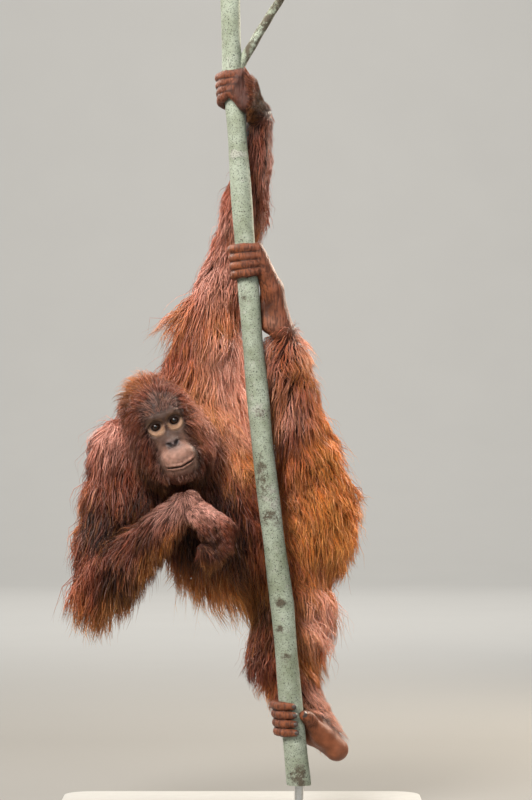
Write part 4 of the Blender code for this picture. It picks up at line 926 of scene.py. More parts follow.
# The bare face, in the head's axes: half width at some heights, how far back it goes, and its dark frame of hair
FACE_HEIGHTS = (-0.130, -0.115, -0.098, -0.078, -0.055, -0.032, -0.010, 0.014, 0.030, 0.045, 0.060)
FACE_HALF_WIDTHS = (0.0, 0.020, 0.033, 0.040, 0.036, 0.033, 0.036, 0.037, 0.035, 0.027, 0.0)
FACE_BACK = 0.032
FRAME_WIDTH = 0.024
FRAME_DARK = 0.72
HEAD_CENTRE = (0.0, 0.040, -0.010)
HEAD_REACH = 0.125
HEAD_DARK = 0.55
FACE_EDGE = 0.005
BROW_HAIR = 1.0
CHIN_HAIR = 0.55
LIP_HAIR = 0.04
SIDE_HAIR = 0.9


def bare_face(local):
    """1 on the bare face, 0 in the hair, with a soft edge."""
    half = np.interp(local[:, 2], FACE_HEIGHTS, FACE_HALF_WIDTHS)
    inside = ramp(half - np.abs(local[:, 0]), -FACE_EDGE, FACE_EDGE)
    return inside * ramp(local[:, 1], FACE_BACK, FACE_BACK - 0.012)


# Hands and feet: where the wrist or heel and the knuckles are, their reach, and which way the back faces
BACKS = {
    "hand_left": ("forearm_left", LEFT_WRIST, (-0.070, -0.028, 1.478), 0.100, (0.55, -0.8, 0.2)),
    "hand_right": ("forearm_right", RIGHT_WRIST, (-0.078, -0.085, 0.594), 0.085, (0.1, -0.5, 1.0)),
    "foot_left": ("shank_left", FOOT_LEFT_HEEL[:3], (-0.015, 0.000, 1.125), 0.085, (1.0, -0.1, 0.1)),
    "foot_right": ("shank_right", FOOT_RIGHT_HEEL[:3], (0.030, 0.040, 0.210), 0.110, (-0.1, 0.9, 0.5)),
}


def hand_share(points, name):
    """How much of a hand or foot a place is in, and how far from wrist or heel to knuckles."""
    limb_name, wrist, knuckles, wide, _ = BACKS[name]
    reach = np.subtract(knuckles, wrist)
    along = (points - np.array(wrist)) @ reach / (reach @ reach)
    away = np.linalg.norm(points - np.array(wrist) - np.clip(along, 0.0, 1.3)[:, None] * reach, axis=1)
    off_limb = chain(points, LIMBS[limb_name])
    return ramp(away, wide, wide * 0.7) * ramp(off_limb, 0.001, 0.009), along


HAIRY_BACK = (-0.072, -0.054)


def hand_hair(points, normals, name):
    """How hairy a hand's back is: full to its knuckles, less on its palm. Feet have none."""
    _, along = hand_share(points, name)
    if name.startswith("foot"):
        return np.zeros(len(points))
    reach = 0.25 if name == "hand_right" else 0.0
    least = -0.45 if name == "hand_right" else -0.95
    facing = ramp(normals @ unit(BACKS[name][4]), least, least + 0.5)
    if name == "hand_left":
        facing = facing * ramp(points[:, 0], HAIRY_BACK[0], HAIRY_BACK[1])
    return facing * ramp(along, 1.22 + reach, 0.98 + reach)


def hairy_share(points, normals):
    """How much of the coat's density a place has: little on the face, none on palms, soles and digits."""
    local = in_head(points)
    face = bare_face(local)
    up = local[:, 2]
    beside = SIDE_HAIR * ramp(np.abs(local[:, 0]), 0.024, 0.034) * ramp(up, -0.018, -0.026) * ramp(up, -0.060, -0.045)
    sparse = BROW_HAIR * ramp(up, 0.017, 0.026) + CHIN_HAIR * ramp(up, -0.096, -0.108) + beside
    sparse = sparse + LIP_HAIR * ramp(up, -0.045, -0.060)
    share = 1.0 - face * (1.0 - np.minimum(sparse, 1.0))
    for name in BACKS:
        inside, _ = hand_share(points, name)
        share = share * (1.0 - inside * (1.0 - hand_hair(points, normals, name)))
    return share


def lie_of_head(points):
    """The head's hair: swept up and back over the brow, and down at the sides."""
    local = in_head(points)
    side = ramp(np.abs(local[:, 0]), 0.018, 0.050)
    top = ramp(local[:, 2], 0.015, 0.075)
    brow = (1.0 - side) * ramp(local[:, 2], 0.004, 0.018)
    flow = units(local - np.array((0.0, -0.050, -0.020)))
    flow[:, 2] -= 1.4 * side * (1.0 - 0.8 * top) + 0.5 * (1.0 - side) * (1.0 - top) * (1.0 - brow)
    flow[:, 1] += 0.9 * top + 0.25
    flow[:, 0] += 0.10 * np.sign(local[:, 0]) * top
    world = flow @ HEAD_AXES.T
    world[:, 2] -= 0.6 * (1.0 - top) * (1.0 - brow)
    return world


def surface_samples(mesh, count, chance, density):
    """Places spread over a mesh at random, as thick as density says, with their normals."""
    mesh.calc_loop_triangles()
    corners = np.zeros(len(mesh.vertices) * 3)
    mesh.vertices.foreach_get("co", corners)
    corners = corners.reshape(-1, 3)
    slopes = np.zeros(len(mesh.vertices) * 3)
    mesh.vertices.foreach_get("normal", slopes)
    slopes = slopes.reshape(-1, 3)
    triangles = np.zeros(len(mesh.loop_triangles) * 3, int)
    mesh.loop_triangles.foreach_get("vertices", triangles)
    triangles = triangles.reshape(-1, 3)
    a, b, c = (corners[triangles[:, index]] for index in range(3))
    area = np.linalg.norm(np.cross(b - a, c - a), axis=1) / 2.0
    weight = area * density((a + b + c) / 3.0, units(slopes[triangles].sum(axis=1)))
    chosen = chance.choice(len(triangles), size=count, p=weight / weight.sum())
    u = np.sqrt(chance.random(count))
    v = chance.random(count)
    mix = np.stack((1.0 - u, u * (1.0 - v), u * v), axis=1)
    places = (corners[triangles[chosen]] * mix[:, :, None]).sum(axis=1)
    normals = units((slopes[triangles[chosen]] * mix[:, :, None]).sum(axis=1))
    return places, normals


GRID_STEP = 0.006
GRID_MARGIN = 0.16


class Hills:
    """Distance to the skin, and which way it grows, kept on a grid for quick reading."""

    def __init__(self, low, high, step):
        self.low = np.array(low)
        self.step = step
        self.counts = np.ceil((np.array(high) - self.low) / step).astype(int) + 1
        axes = [self.low[k] + step * np.arange(self.counts[k]) for k in range(3)]
        grid = np.stack(np.meshgrid(*axes, indexing="ij"), axis=-1).reshape(-1, 3)
        values = [body_and_head(part) for part in np.array_split(grid, 60)]
        self.values = np.concatenate(values).reshape(self.counts)
        self.slopes = np.stack(np.gradient(self.values, step), axis=-1)

    def read(self, points):
        where = np.clip((points - self.low) / self.step, 0.0, self.counts - 1.001)
        cell = where.astype(int)
        part = where - cell
        distance = np.zeros(len(points))
        slope = np.zeros((len(points), 3))
        for corner in range(8):
            offset = np.array((corner & 1, corner >> 1 & 1, corner >> 2 & 1))
            weight = np.prod(np.where(offset, part, 1.0 - part), axis=1)
            i, j, k = (cell + offset).T
            distance += weight * self.values[i, j, k]
            slope += weight[:, None] * self.slopes[i, j, k]
        return distance, units(slope)


HEAD_BALLS = (SKULL, FOREHEAD, MIDFACE, MUZZLE)


def body_and_head(points):
    """A plain distance to the whole skin, near enough to lay hair on."""
    found = body_field(points)
    local = in_head(points)
    for form in HEAD_BALLS:
        found = smooth_union(found, ball(local, *form), HEAD_BLEND)
    for field, low, high in ((head_field, HEAD_LOW, HEAD_HIGH), *HANDS.values()):
        inside = ((points > np.array(low)) & (points < np.array(high))).all(axis=1)
        if inside.any():
            found[inside] = np.minimum(found[inside], field(points[inside]))
    return found


HAIR_POINTS = 5
SHORT_POINTS = 4
SHORT_HAIR = 0.055
DROOP = 0.50
FREE_DROOP = 1.3
HUG = 0.40
SAPLING_SPACE = 0.0030
TUFTS = 76000
LONG_TUFTS = 9000
SHORT_TUFTS = 12400
GUIDE_EVERY = 14
CLUMP = 0.72
STRAY_SHARE = 0.06
BEND = 0.0050
FACE_HAIR = 0.012
HAND_HAIR = 0.024


def hair_plan(places, normals, chance):
    """Length, lie, lift and thickness of the coat at each root."""
    shares, alongs = region_shares(places)
    length = np.zeros(len(places))
    lift = np.zeros(len(places))
    thick = np.zeros(len(places))
    lie = np.zeros((len(places), 3))
    for index, name in enumerate(REGIONS):
        start, end, lifts, flow, depth = COATS[name]
        length += shares[index] * (start + (end - start) * alongs[index] ** 1.3)
        lift += shares[index] * lifts
        thick += shares[index] * depth
        direction = lie_of_head(places) if name == "head" else unit(flow)
        lie += shares[index][:, None] * direction
    for place, spread, longer, lean, lifts in LONG_SPOTS:
        strength = np.exp(-((places - np.array(place)) ** 2).sum(axis=1) / spread ** 2)
        length += strength * longer
        lift += strength * lifts
        lie += strength[:, None] * np.array(lean)
    lift = lift * (1.0 + 0.45 * ripple(places, 0.030, 1.3))
    local = in_head(places)
    on_head = shares[REGIONS.index("head")] > 0.4
    near_face = ramp(local[:, 1], 0.040, 0.010) * on_head
    length = length * (1.0 - 0.35 * near_face)
    face = bare_face(local)
    length = length + (FACE_HAIR + 0.012 * ramp(local[:, 2], 0.016, 0.040) - length) * face
    lift = lift * (1.0 - 0.7 * face)
    thick = thick * (1.0 - 0.9 * face)
    crown = bump(local[:, 2], 0.085, 0.045) * ramp(local[:, 1], -0.01, 0.03) * ramp(local[:, 1], 0.14, 0.08)
    lift += 0.6 * crown
    length += 0.008 * crown
    for name in BACKS:
        inside, along = hand_share(places, name)
        length = length + (HAND_HAIR - length) * inside
        thick = thick * (1.0 - 0.75 * inside)
        lift = lift * (1.0 - 0.4 * inside)
        limb_name, wrist, knuckles, _, _ = BACKS[name]
        lie = lie + (unit(np.subtract(knuckles, wrist))[None] * 1.4 - lie) * (0.8 * inside)[:, None]
    stray = chance.random(len(places)) < STRAY_SHARE
    return {"length": length, "lie": lie, "lift": lift, "thick": thick, "stray": stray & (length > 0.03)}


def keep_off_sapling(points, space):
    """Push points out of the sapling, sideways."""
    depth = space - sapling_field(points)
    inside = depth > 0.0
    heights = [point[2] for point in SAPLING_LINE]
    axis_x = np.interp(points[:, 2], heights, [point[0] for point in SAPLING_LINE])
    sideways = np.stack((points[:, 0] - axis_x, points[:, 1], np.zeros(len(points))), axis=1)
    sideways = units(sideways + np.array((0.0, 1e-6, 0.0)))
    points[inside] += (sideways * depth[:, None])[inside]
    return points


def hair_paths(places, normals, plan, hills, chance):
    """Each hair's points, from its root to its tip: it follows the body, and droops where it hangs free."""
    count = len(places)
    lift = plan["lift"] + 0.3 * plan["stray"]
    wander = (0.14 + 0.25 * plan["stray"])[:, None] * chance.normal(size=(count, 3))
    waves = np.stack([ripple(places, 0.045, phase) for phase in (0.3, 2.1, 4.4)], axis=1) * 0.34
    heading = units(plan["lie"]) + wander + waves
    heading -= (heading * normals).sum(axis=1, keepdims=True) * normals
    heading = units(heading)
    height = chance.random(count) ** 0.8
    plan["height"] = height
    lift = np.maximum(lift, 0.05)
    free = ramp(lift, 0.75, 1.6)
    reach = plan["length"] * (0.62 + 0.45 * chance.random(count)) * (1.0 + 0.05 * plan["stray"])
    step = reach / (HAIR_POINTS - 1)
    deep = plan["thick"] * height + 0.010 * lift * np.clip(plan["length"] / 0.08, 0.1, 1.0)
    place = places - normals * 0.0015
    paths = [place.copy()]
    heading = units(heading + normals * (lift + 0.40)[:, None])
    for index in range(1, HAIR_POINTS):
        share = index / (HAIR_POINTS - 1)
        place = place + heading * step[:, None]
        distance, slope = hills.read(place)
        wanted = 0.0012 + deep * min(1.0, 1.4 * share)
        low = distance < wanted
        place[low] += (slope * (wanted - distance)[:, None])[low]
        hangs = ramp(-slope[:, 2], 0.05, 0.55)
        keep = 0.35 * (1.0 - hangs) * ~low * (1.0 - 0.7 * plan["stray"]) * (1.0 - 0.9 * free)
        place -= slope * ((distance - wanted) * keep)[:, None]
        place = keep_off_sapling(place, SAPLING_SPACE)
        paths.append(place.copy())
        droop = (DROOP + FREE_DROOP * hangs) * share * np.clip(plan["length"] / 0.06, 0.15, 1.3)
        heading = heading + np.array((0.0, 0.0, -1.0)) * droop[:, None]
        out = (heading * slope).sum(axis=1)
        hug = np.where(out < 0.0, 0.9, HUG * (1.0 - hangs) * (1.0 - 0.9 * free))
        heading = units(heading - (out * hug)[:, None] * slope)
    return np.stack(paths, axis=1)


def locks_of(paths, plan):
    """The guide hair that each hair belongs to: the nearest one."""
    guides = np.flatnonzero(~plan["stray"])[::GUIDE_EVERY]
    tree = KDTree(len(guides))
    for number, guide in enumerate(guides):
        tree.insert(Vector(paths[guide, 0]), number)
    tree.balance()
    return np.array([guides[tree.find(Vector(root))[1]] for root in paths[:, 0]])


def clumped(paths, plan, nearest, chance, hills):
    """Draw hairs towards the tips of their guide hairs, so that they end in locks, and bend the locks."""
    shares = np.linspace(0.0, 1.0, HAIR_POINTS)[None, :, None]
    strength = CLUMP * (0.5 + 0.5 * chance.random(len(paths))) * (1.0 - 0.85 * plan["stray"])
    strength = strength * (0.5 + 0.5 * chance.random(len(paths)))[nearest]
    offset = paths[:, :1] - paths[nearest, :1]
    target = paths[nearest] + offset * (1.0 - shares) ** 1.3
    alike = plan["length"] / np.maximum(plan["length"][nearest], 0.001)
    close = (np.linalg.norm(offset[:, 0], axis=1) < 0.025) & (alike > 0.75) & (alike < 1.3)
    mixed = (strength * close)[:, None, None] * shares ** 1.2
    made = paths * (1.0 - mixed) + target * mixed
    bends = chance.normal(size=made.shape) * BEND * (plan["length"] / 0.09)[:, None, None]
    bends[:, 0] = 0.0
    bends = bends * shares ** 0.7
    made += bends[nearest] * 0.85 + bends * 0.25
    flat = made.reshape(-1, 3)
    distance, slope = hills.read(flat)
    low = distance < -0.002
    flat[low] += (slope * (-0.002 - distance)[:, None])[low]
    return flat.reshape(made.shape)


def crosses_sapling(paths):
    """Whether a hair passes in front of the sapling."""
    flat = paths.reshape(-1, 3)
    heights = [point[2] for point in SAPLING_LINE]
    axis_x = np.interp(flat[:, 2], heights, [point[0] for point in SAPLING_LINE])
    front = (np.abs(flat[:, 0] - axis_x) < 0.022) & (flat[:, 1] < -0.010)
    return front.reshape(paths.shape[:2]).any(axis=1)


TUFT_WIDTH = 0.0018
TUFT_THICK = 0.45
WIDTH_PROFILES = {5: (0.75, 1.0, 0.85, 0.50), 4: (0.80, 1.0, 0.60)}
TUFT_CORNERS = ((-0.5, -0.33), (0.5, -0.33), (0.0, 0.67))


def tufts_object(name, paths, normals, widths, marks, roots_map):
    """One mesh of closed three-sided tufts, one along each path, tapering to its tip."""
    count, points, _ = paths.shape
    rings = points - 1
    ahead = np.gradient(paths, axis=1)
    ahead = units(ahead)
    side = units(np.cross(ahead, normals[:, None, :]))
    up = np.cross(side, ahead)
    spin = marks["spin"][:, None, None]
    side, up = side * np.cos(spin) + up * np.sin(spin), up * np.cos(spin) - side * np.sin(spin)
    profile = np.array(WIDTH_PROFILES[points])[None, :, None]
    wide = widths[:, None, None] * profile
    corners = []
    for across, high in TUFT_CORNERS:
        corners.append(paths[:, :rings] + side[:, :rings] * wide * across + up[:, :rings] * wide * high * TUFT_THICK)
    body = np.stack(corners, axis=2).reshape(count, rings * 3, 3)
    vertices = np.concatenate((body, paths[:, -1:]), axis=1)
    each = rings * 3 + 1
    faces = []
    for ring in range(rings - 1):
        for corner in range(3):
            a = ring * 3 + corner
            b = ring * 3 + (corner + 1) % 3
            faces.append((a, b, b + 3))
            faces.append((a, b + 3, a + 3))
    last = (rings - 1) * 3
    for corner in range(3):
        faces.append((last + corner, last + (corner + 1) % 3, rings * 3))
    faces.append((0, 2, 1))
    faces = np.array(faces)
    loops = (faces[None] + (np.arange(count) * each)[:, None, None]).reshape(-1)
    mesh = bpy.data.meshes.new(name)
    mesh.vertices.add(count * each)
    mesh.vertices.foreach_set("co", vertices.reshape(-1).astype(np.float32))
    mesh.loops.add(len(loops))
    mesh.loops.foreach_set("vertex_index", loops.astype(np.int32))
    mesh.polygons.add(len(loops) // 3)
    mesh.polygons.foreach_set("loop_start", np.arange(0, len(loops), 3, dtype=np.int32))
    mesh.update(calc_edges=True)
    shares = np.append(np.repeat(np.arange(rings) / rings, 3), 1.0)
    colour = np.zeros((count, each, 4), np.float32)
    for channel, key in enumerate(("tone", "warm_and_glow", "pale")):
        colour[:, :, channel] = marks[key][:, None]
    colour[:, :, 3] = shares[None]
    held = mesh.attributes.new("marks", "FLOAT_COLOR", "POINT")
    held.data.foreach_set("color", colour.reshape(-1))
    across = np.append(np.tile((-0.5, 0.5, 0.0), rings), 0.0)
    patch = np.stack((across, shares - 0.5), axis=1) * 0.003
    corners_map = (roots_map[:, None, :] + patch[None]).reshape(-1, 2)[loops]
    layer = mesh.uv_layers.new(name="OFBake")
    layer.uv.foreach_set("vector", corners_map.reshape(-1).astype(np.float32))
    obj = bpy.data.objects.new(name, mesh)
    bpy.context.scene.collection.objects.link(obj)
    mesh.shade_smooth()
    return obj


ATLAS_COLUMNS = 4
ATLAS_ROWS = 3
ATLAS_MARGIN = 0.06


def roots_on_map(places, region):
    """Each root's place on an unwrap of the skin: one tile a region, round its bones and along them."""
    found = np.zeros((len(places), 2))
    for index, name in enumerate(REGIONS):
        mine = region == index
        if not mine.any():
            continue
        start = np.array(BONES[name][0][:3])
        end = np.array(BONES[name][-1][:3])
        axis = unit(end - start)
        first = unit(np.cross(axis, (0.0, 1.0, 0.0)))
        second = np.cross(axis, first)
        away = places[mine] - start
        turn = np.arctan2(away @ second, away @ first) / (2.0 * math.pi) + 0.5
        _, along = along_bones(places[mine], BONES[name])
        column = index % ATLAS_COLUMNS
        row = index // ATLAS_COLUMNS
        span = 1.0 - 2.0 * ATLAS_MARGIN
        found[mine, 0] = (column + ATLAS_MARGIN + span * turn) / ATLAS_COLUMNS
        found[mine, 1] = (row + ATLAS_MARGIN + span * along) / ATLAS_ROWS
    return found


# How the coat is divided into pieces: name, and the regions it holds
COAT_PIECES = {
    "coat_head": ("head", "neck"),
    "coat_torso": ("torso",),
    "coat_arm_left": ("arm_upper_left", "forearm_left"),
    "coat_arm_right": ("arm_upper_right", "forearm_right"),
    "coat_leg_left": ("thigh_left", "shank_left"),
    "coat_leg_right": ("thigh_right", "shank_right"),
}


def coat_parts(skin, hills, chance):
    """The whole coat, as pieces small enough to bake."""
    places, normals = surface_samples(skin.data, TUFTS, chance, coat_density)
    plan = hair_plan(places, normals, chance)
    paths = hair_paths(places, normals, plan, hills, chance)
    nearest = locks_of(paths, plan)
    paths = clumped(paths, plan, nearest, chance, hills)
    tone, warm_and_glow, pale = tones_and_painted_light(paths[:, 2], normals)
    face = bare_face(in_head(places))
    tone = tone * (1.0 - 0.75 * face)
    pale = pale + (0.25 - pale) * face
    count = len(places)
    region = region_shares(places)[0].argmax(axis=0)
    on_map = roots_on_map(places, region)
    lock = chance.normal(size=count)[nearest]
    # Painted shade deep in the coat: hairs lower in it get darker tone, warmth and paleness
    undercoat_shade = 0.45 + 0.65 * plan["height"]
    marks = {
        "tone": np.clip((tone + 0.10 * chance.normal(size=count) + 0.15 * lock * tone) * undercoat_shade, 0.0, 1.0),
        "warm_and_glow": np.clip((warm_and_glow + 0.10 * chance.normal(size=count)) * undercoat_shade, 0.0, 1.0),
        "pale": np.clip((pale + 0.12 * chance.normal(size=count) + 0.14 * lock * pale) * undercoat_shade, 0.0, 1.0),
        "spin": chance.uniform(-0.8, 0.8, size=count),
    }
    widths = TUFT_WIDTH * (0.7 + 0.6 * chance.random(count)) * np.clip(plan["length"] / 0.075, 0.42, 1.1)
    widths = widths * (1.0 - 0.45 * plan["stray"])
    wanted = ~crosses_sapling(paths)
    short = plan["length"] < SHORT_HAIR
    short_paths = resampled(paths, SHORT_POINTS)
    made = []
    for name, members in COAT_PIECES.items():
        inside = np.isin(region, [REGIONS.index(member) for member in members]) & wanted
        for chosen, most, lines, ending in (
            (inside & ~short, LONG_TUFTS, paths, ""), (inside & short, SHORT_TUFTS, short_paths, "_short")
        ):
            mine = np.flatnonzero(chosen)
            mine = mine[np.argsort(places[mine, 2])]
            parts = math.ceil(len(mine) / most)
            if not parts:
                continue
            for number, group in enumerate(np.array_split(mine, parts)):
                piece_name = f"{name}{ending}" if parts == 1 else f"{name}{ending}_{number + 1}"
                own = {key: value[group] for key, value in marks.items()}
                made.append(
                    tufts_object(piece_name, lines[group], normals[group], widths[group], own, on_map[group])
                )
    return made


def resampled(paths, count):
    """The same paths with fewer points."""
    where = np.linspace(0.0, paths.shape[1] - 1.0, count)
    before = np.minimum(where.astype(int), paths.shape[1] - 2)
    part = (where - before)[None, :, None]
    return paths[:, before] * (1.0 - part) + paths[:, before + 1] * part


def coat_density(points, normals):
    """Tufts for an area: thicker on the head, none on bare skin."""
    local = in_head(points)
    near_head = ramp(np.linalg.norm(local - np.array(HEAD_CENTRE), axis=1), HEAD_REACH * 0.92, HEAD_REACH * 0.68)
    on_hand = sum(hand_share(points, name)[0] for name in ("hand_left", "hand_right"))
    return hairy_share(points, normals) * (1.0 + 1.7 * near_head + 4.5 * on_hand)


# Eyes and nails
IRIS_REACH = 0.0068
PUPIL_REACH = 0.0040
CORNEA_RISE = 0.0008
CORNEA_REACH = 0.0070
EYE_RINGS = 40
EYE_SIDES = 48
GAZE = (0.0, -1.0, 0.06)


def eye_part(name, side):
    """An eyeball with its cornea standing a little proud, turned to where the animal looks."""
    centre = Vector(from_head((side * EYE_HALF_SPACING, EYE_DEPTH, 0.0)))
    mesh = bpy.data.meshes.new(name)
    work = bmesh.new()
    bmesh.ops.create_uvsphere(work, u_segments=EYE_SIDES, v_segments=EYE_RINGS, radius=EYE_RADIUS - 0.0001)
    work.to_mesh(mesh)
    work.free()
    points = np.zeros(len(mesh.vertices) * 3)
    mesh.vertices.foreach_get("co", points)
    points = points.reshape(-1, 3)
    reach = np.hypot(points[:, 0], points[:, 1])
    front = points[:, 2] > 0
    rise = CORNEA_RISE * ramp(reach, CORNEA_REACH, 0.0) * front
    points = points * (1.0 + rise / EYE_RADIUS)[:, None]
    mesh.vertices.foreach_set("co", points.reshape(-1))
    colour = np.ones((len(points), 4), np.float32)
    colour[:, :3] = eye_colours(reach, front, np.arctan2(points[:, 1], points[:, 0]))
    held = mesh.attributes.new("marks", "FLOAT_COLOR", "POINT")
    held.data.foreach_set("color", colour.reshape(-1))
    turn = Vector(HEAD_AXES @ np.array(GAZE)).to_track_quat("Z", "Y").to_matrix().to_4x4()
    mesh.transform(Matrix.Translation(centre) @ turn)
    obj = bpy.data.objects.new(name, mesh)
    bpy.context.scene.collection.objects.link(obj)
    mesh.shade_smooth()
    return obj


SCLERA = (0.014, 0.0075, 0.0050)
IRIS_RIM = (0.005, 0.002, 0.001)
IRIS = (0.040, 0.013, 0.004)
PUPIL = (0.001, 0.001, 0.001)


def eye_colours(reach, front, turn):
    """Pupil, iris with its darker rim and spokes, and the dark white of an ape's eye."""
    spokes = 0.75 + 0.25 * np.sin(turn * 23.0) * np.sin(turn * 7.0 + 1.0)
    colour = np.array(SCLERA)[None] * np.ones((len(reach), 1))
    iris = np.array(IRIS)[None] * spokes[:, None]
    rim = ramp(reach, IRIS_REACH * 0.72, IRIS_REACH * 0.95)[:, None]
    iris = iris + (np.array(IRIS_RIM)[None] - iris) * rim
    inside = (ramp(reach, IRIS_REACH * 1.06, IRIS_REACH * 0.98) * front)[:, None]
    colour = colour + (iris - colour) * inside
    pupil = (ramp(reach, PUPIL_REACH * 1.1, PUPIL_REACH * 0.9) * front)[:, None]
    return colour + (np.array(PUPIL)[None] - colour) * pupil


NAIL_STEPS = (9, 7)
NAIL_THICKNESS = 0.0008


def nail(centre, forward, outward, width, length, curve):
    """Points and faces of one curved nail plate, closed, seated on its digit."""
    forward = unit(forward)
    outward = unit(np.array(outward) - forward * (np.array(outward) @ forward))
    across = np.cross(forward, outward)
    columns, rows = NAIL_STEPS
    layers = []
    for raise_by in (NAIL_THICKNESS, 0.0):
        for row in range(rows):
            v = row / (rows - 1)
            for column in range(columns):
                u = column / (columns - 1) * 2.0 - 1.0
                round_end = math.sqrt(max(0.0, 1.0 - 0.35 * (2.0 * v - 1.0) ** 4 - 0.0))
                angle = u * 1.05 * round_end
                height = curve * math.cos(angle) - curve + raise_by * (1.0 - 0.6 * abs(u) ** 3)
                tip = 0.10 * math.cos(angle * 1.2) if row == rows - 1 else 0.0
                point = (
                    np.array(centre) + forward * length * (v - 0.5 + tip) + across * curve * math.sin(angle)
                    + outward * (height - 0.0006 * (2.0 * v - 1.0) ** 2)
                )
                layers.append(point * 1.0)
    faces = []
    size = columns * rows
    for layer in range(2):
        for row in range(rows - 1):
            for column in range(columns - 1):
                a = layer * size + row * columns + column
                quad = (a, a + 1, a + columns + 1, a + columns)
                faces.append(quad if layer == 0 else quad[::-1])
    rim = [column for column in range(columns)]
    rim += [row * columns + columns - 1 for row in range(1, rows)]
    rim += [(rows - 1) * columns + column for column in range(columns - 2, -1, -1)]
    rim += [row * columns for row in range(rows - 2, 0, -1)]
    for a, b in zip(rim, rim[1:] + rim[:1]):
        faces.append((b, a, a + size, b + size))
    return layers, faces


def digit_tips():
    """Each digit's last stations, with the way its nail faces."""
    tips = []
    for name in GRIPS:
        digits, _ = digit_stations(name)
        for stations in digits + [wrapped(*FIRST_DIGITS[name])]:
            end = np.array(stations[-1])
            before = np.array(stations[-2])
            centre, _ = sapling_at(end[2])
            tips.append((end, end[:3] - before[:3], end[:3] - centre))
    for stations in free_fingers():
        end = np.array(stations[-1])
        before = np.array(stations[-2])
        tips.append((end, end[:3] - before[:3], (-0.3, -0.1, -1.0)))
    thumb = np.array(HAND_RIGHT_THUMB)
    tips.append((thumb[-1], thumb[-1][:3] - thumb[-2][:3], (-0.2, -0.9, 0.3)))
    return tips


def nails_part():
    """All nails, each a thin curved plate on the outer side of its digit's end."""
    points = []
    faces = []
    for end, forward, outward in digit_tips():
        radius = end[3]
        forward = unit(forward)
        outward = unit(np.array(outward) - forward * (np.array(outward) @ forward))
        centre = end[:3] + forward * radius * 0.25 + outward * radius * 0.96
        plate, sides = nail(centre, forward, outward, radius, radius * 1.35, radius * 0.78)
        faces += [tuple(index + len(points) for index in side) for side in sides]
        points += plate
    mesh = bpy.data.meshes.new("nails")
    mesh.from_pydata([tuple(point) for point in points], [], faces)
    work = bmesh.new()
    work.from_mesh(mesh)
    bmesh.ops.recalc_face_normals(work, faces=work.faces)
    work.to_mesh(mesh)
    work.free()
    obj = bpy.data.objects.new("nails", mesh)
    bpy.context.scene.collection.objects.link(obj)
    mesh.shade_smooth()
    return obj


# The sapling
TRUNK_SIDES = 72
TRUNK_RINGS = 320
BRANCH_SIDES = 32
BRANCH_RINGS = 60
TRUNK_WOBBLE = 0.0007
KNOTS = (
    (-0.0565, 1.335, 0.007, 0.0016, 100.0),
    (0.0020, 0.700, 0.006, 0.0016, 60.0),
    (0.0200, 0.512, 0.006, 0.0022, 95.0),
    (0.0260, 0.440, 0.007, 0.0022, 75.0),
    (0.0300, 0.386, 0.006, 0.0018, 100.0),
    (0.0540, 0.150, 0.007, 0.0022, 80.0),
)


def trunk_surface(height, turn):
    """Radius of the bark: slight swellings, shallow ribs and knots."""
    _, radius = sapling_at(height)
    radius += TRUNK_WOBBLE * (math.sin(height * 31.0 + 2.0 * math.sin(turn)) + 0.6 * math.sin(2.0 * turn + height * 17.0))
    for _, at, spread, rise, facing in KNOTS:
        away = math.degrees(turn) - facing
        away = (away + 180.0) % 360.0 - 180.0
        reach = ((height - at) / spread) ** 2 + (math.radians(away) * 0.022 / spread) ** 2
        radius += rise * math.exp(-reach) * (1.0 - 0.9 * math.exp(-reach * 7.0))
        ring = math.exp(-(((height - at) / 0.004) ** 2))
        radius += 0.0004 * ring
    return radius


def smooth_line(heights):
    """The trunk's centre as a smooth curve through the sapling's points."""
    known = np.array([point[2] for point in SAPLING_LINE])
    across = np.array([point[0] for point in SAPLING_LINE])
    return np.interp(heights, known, across)


def ringed(name, centres, frames, radius_of, sides):
    """A closed tube through centres; frames are two directions a ring, radius_of gives each corner's radius."""
    points = []
    for index, (centre, (first, second)) in enumerate(zip(centres, frames)):
        for side in range(sides):
            turn = 2.0 * math.pi * side / sides
            radius = radius_of(index, turn)
            points.append(centre + radius * (math.cos(turn) * first + math.sin(turn) * second))
    faces = []
    for ring in range(len(centres) - 1):
        for side in range(sides):
            after = (side + 1) % sides
            a = ring * sides
            faces.append((a + side, a + after, a + sides + after, a + sides + side))
    last = (len(centres) - 1) * sides
    faces.append(tuple(range(sides))[::-1])
    faces.append(tuple(range(last, last + sides)))
    mesh = bpy.data.meshes.new(name)
    mesh.from_pydata([tuple(point) for point in points], [], faces)
    obj = bpy.data.objects.new(name, mesh)
    bpy.context.scene.collection.objects.link(obj)
    return obj


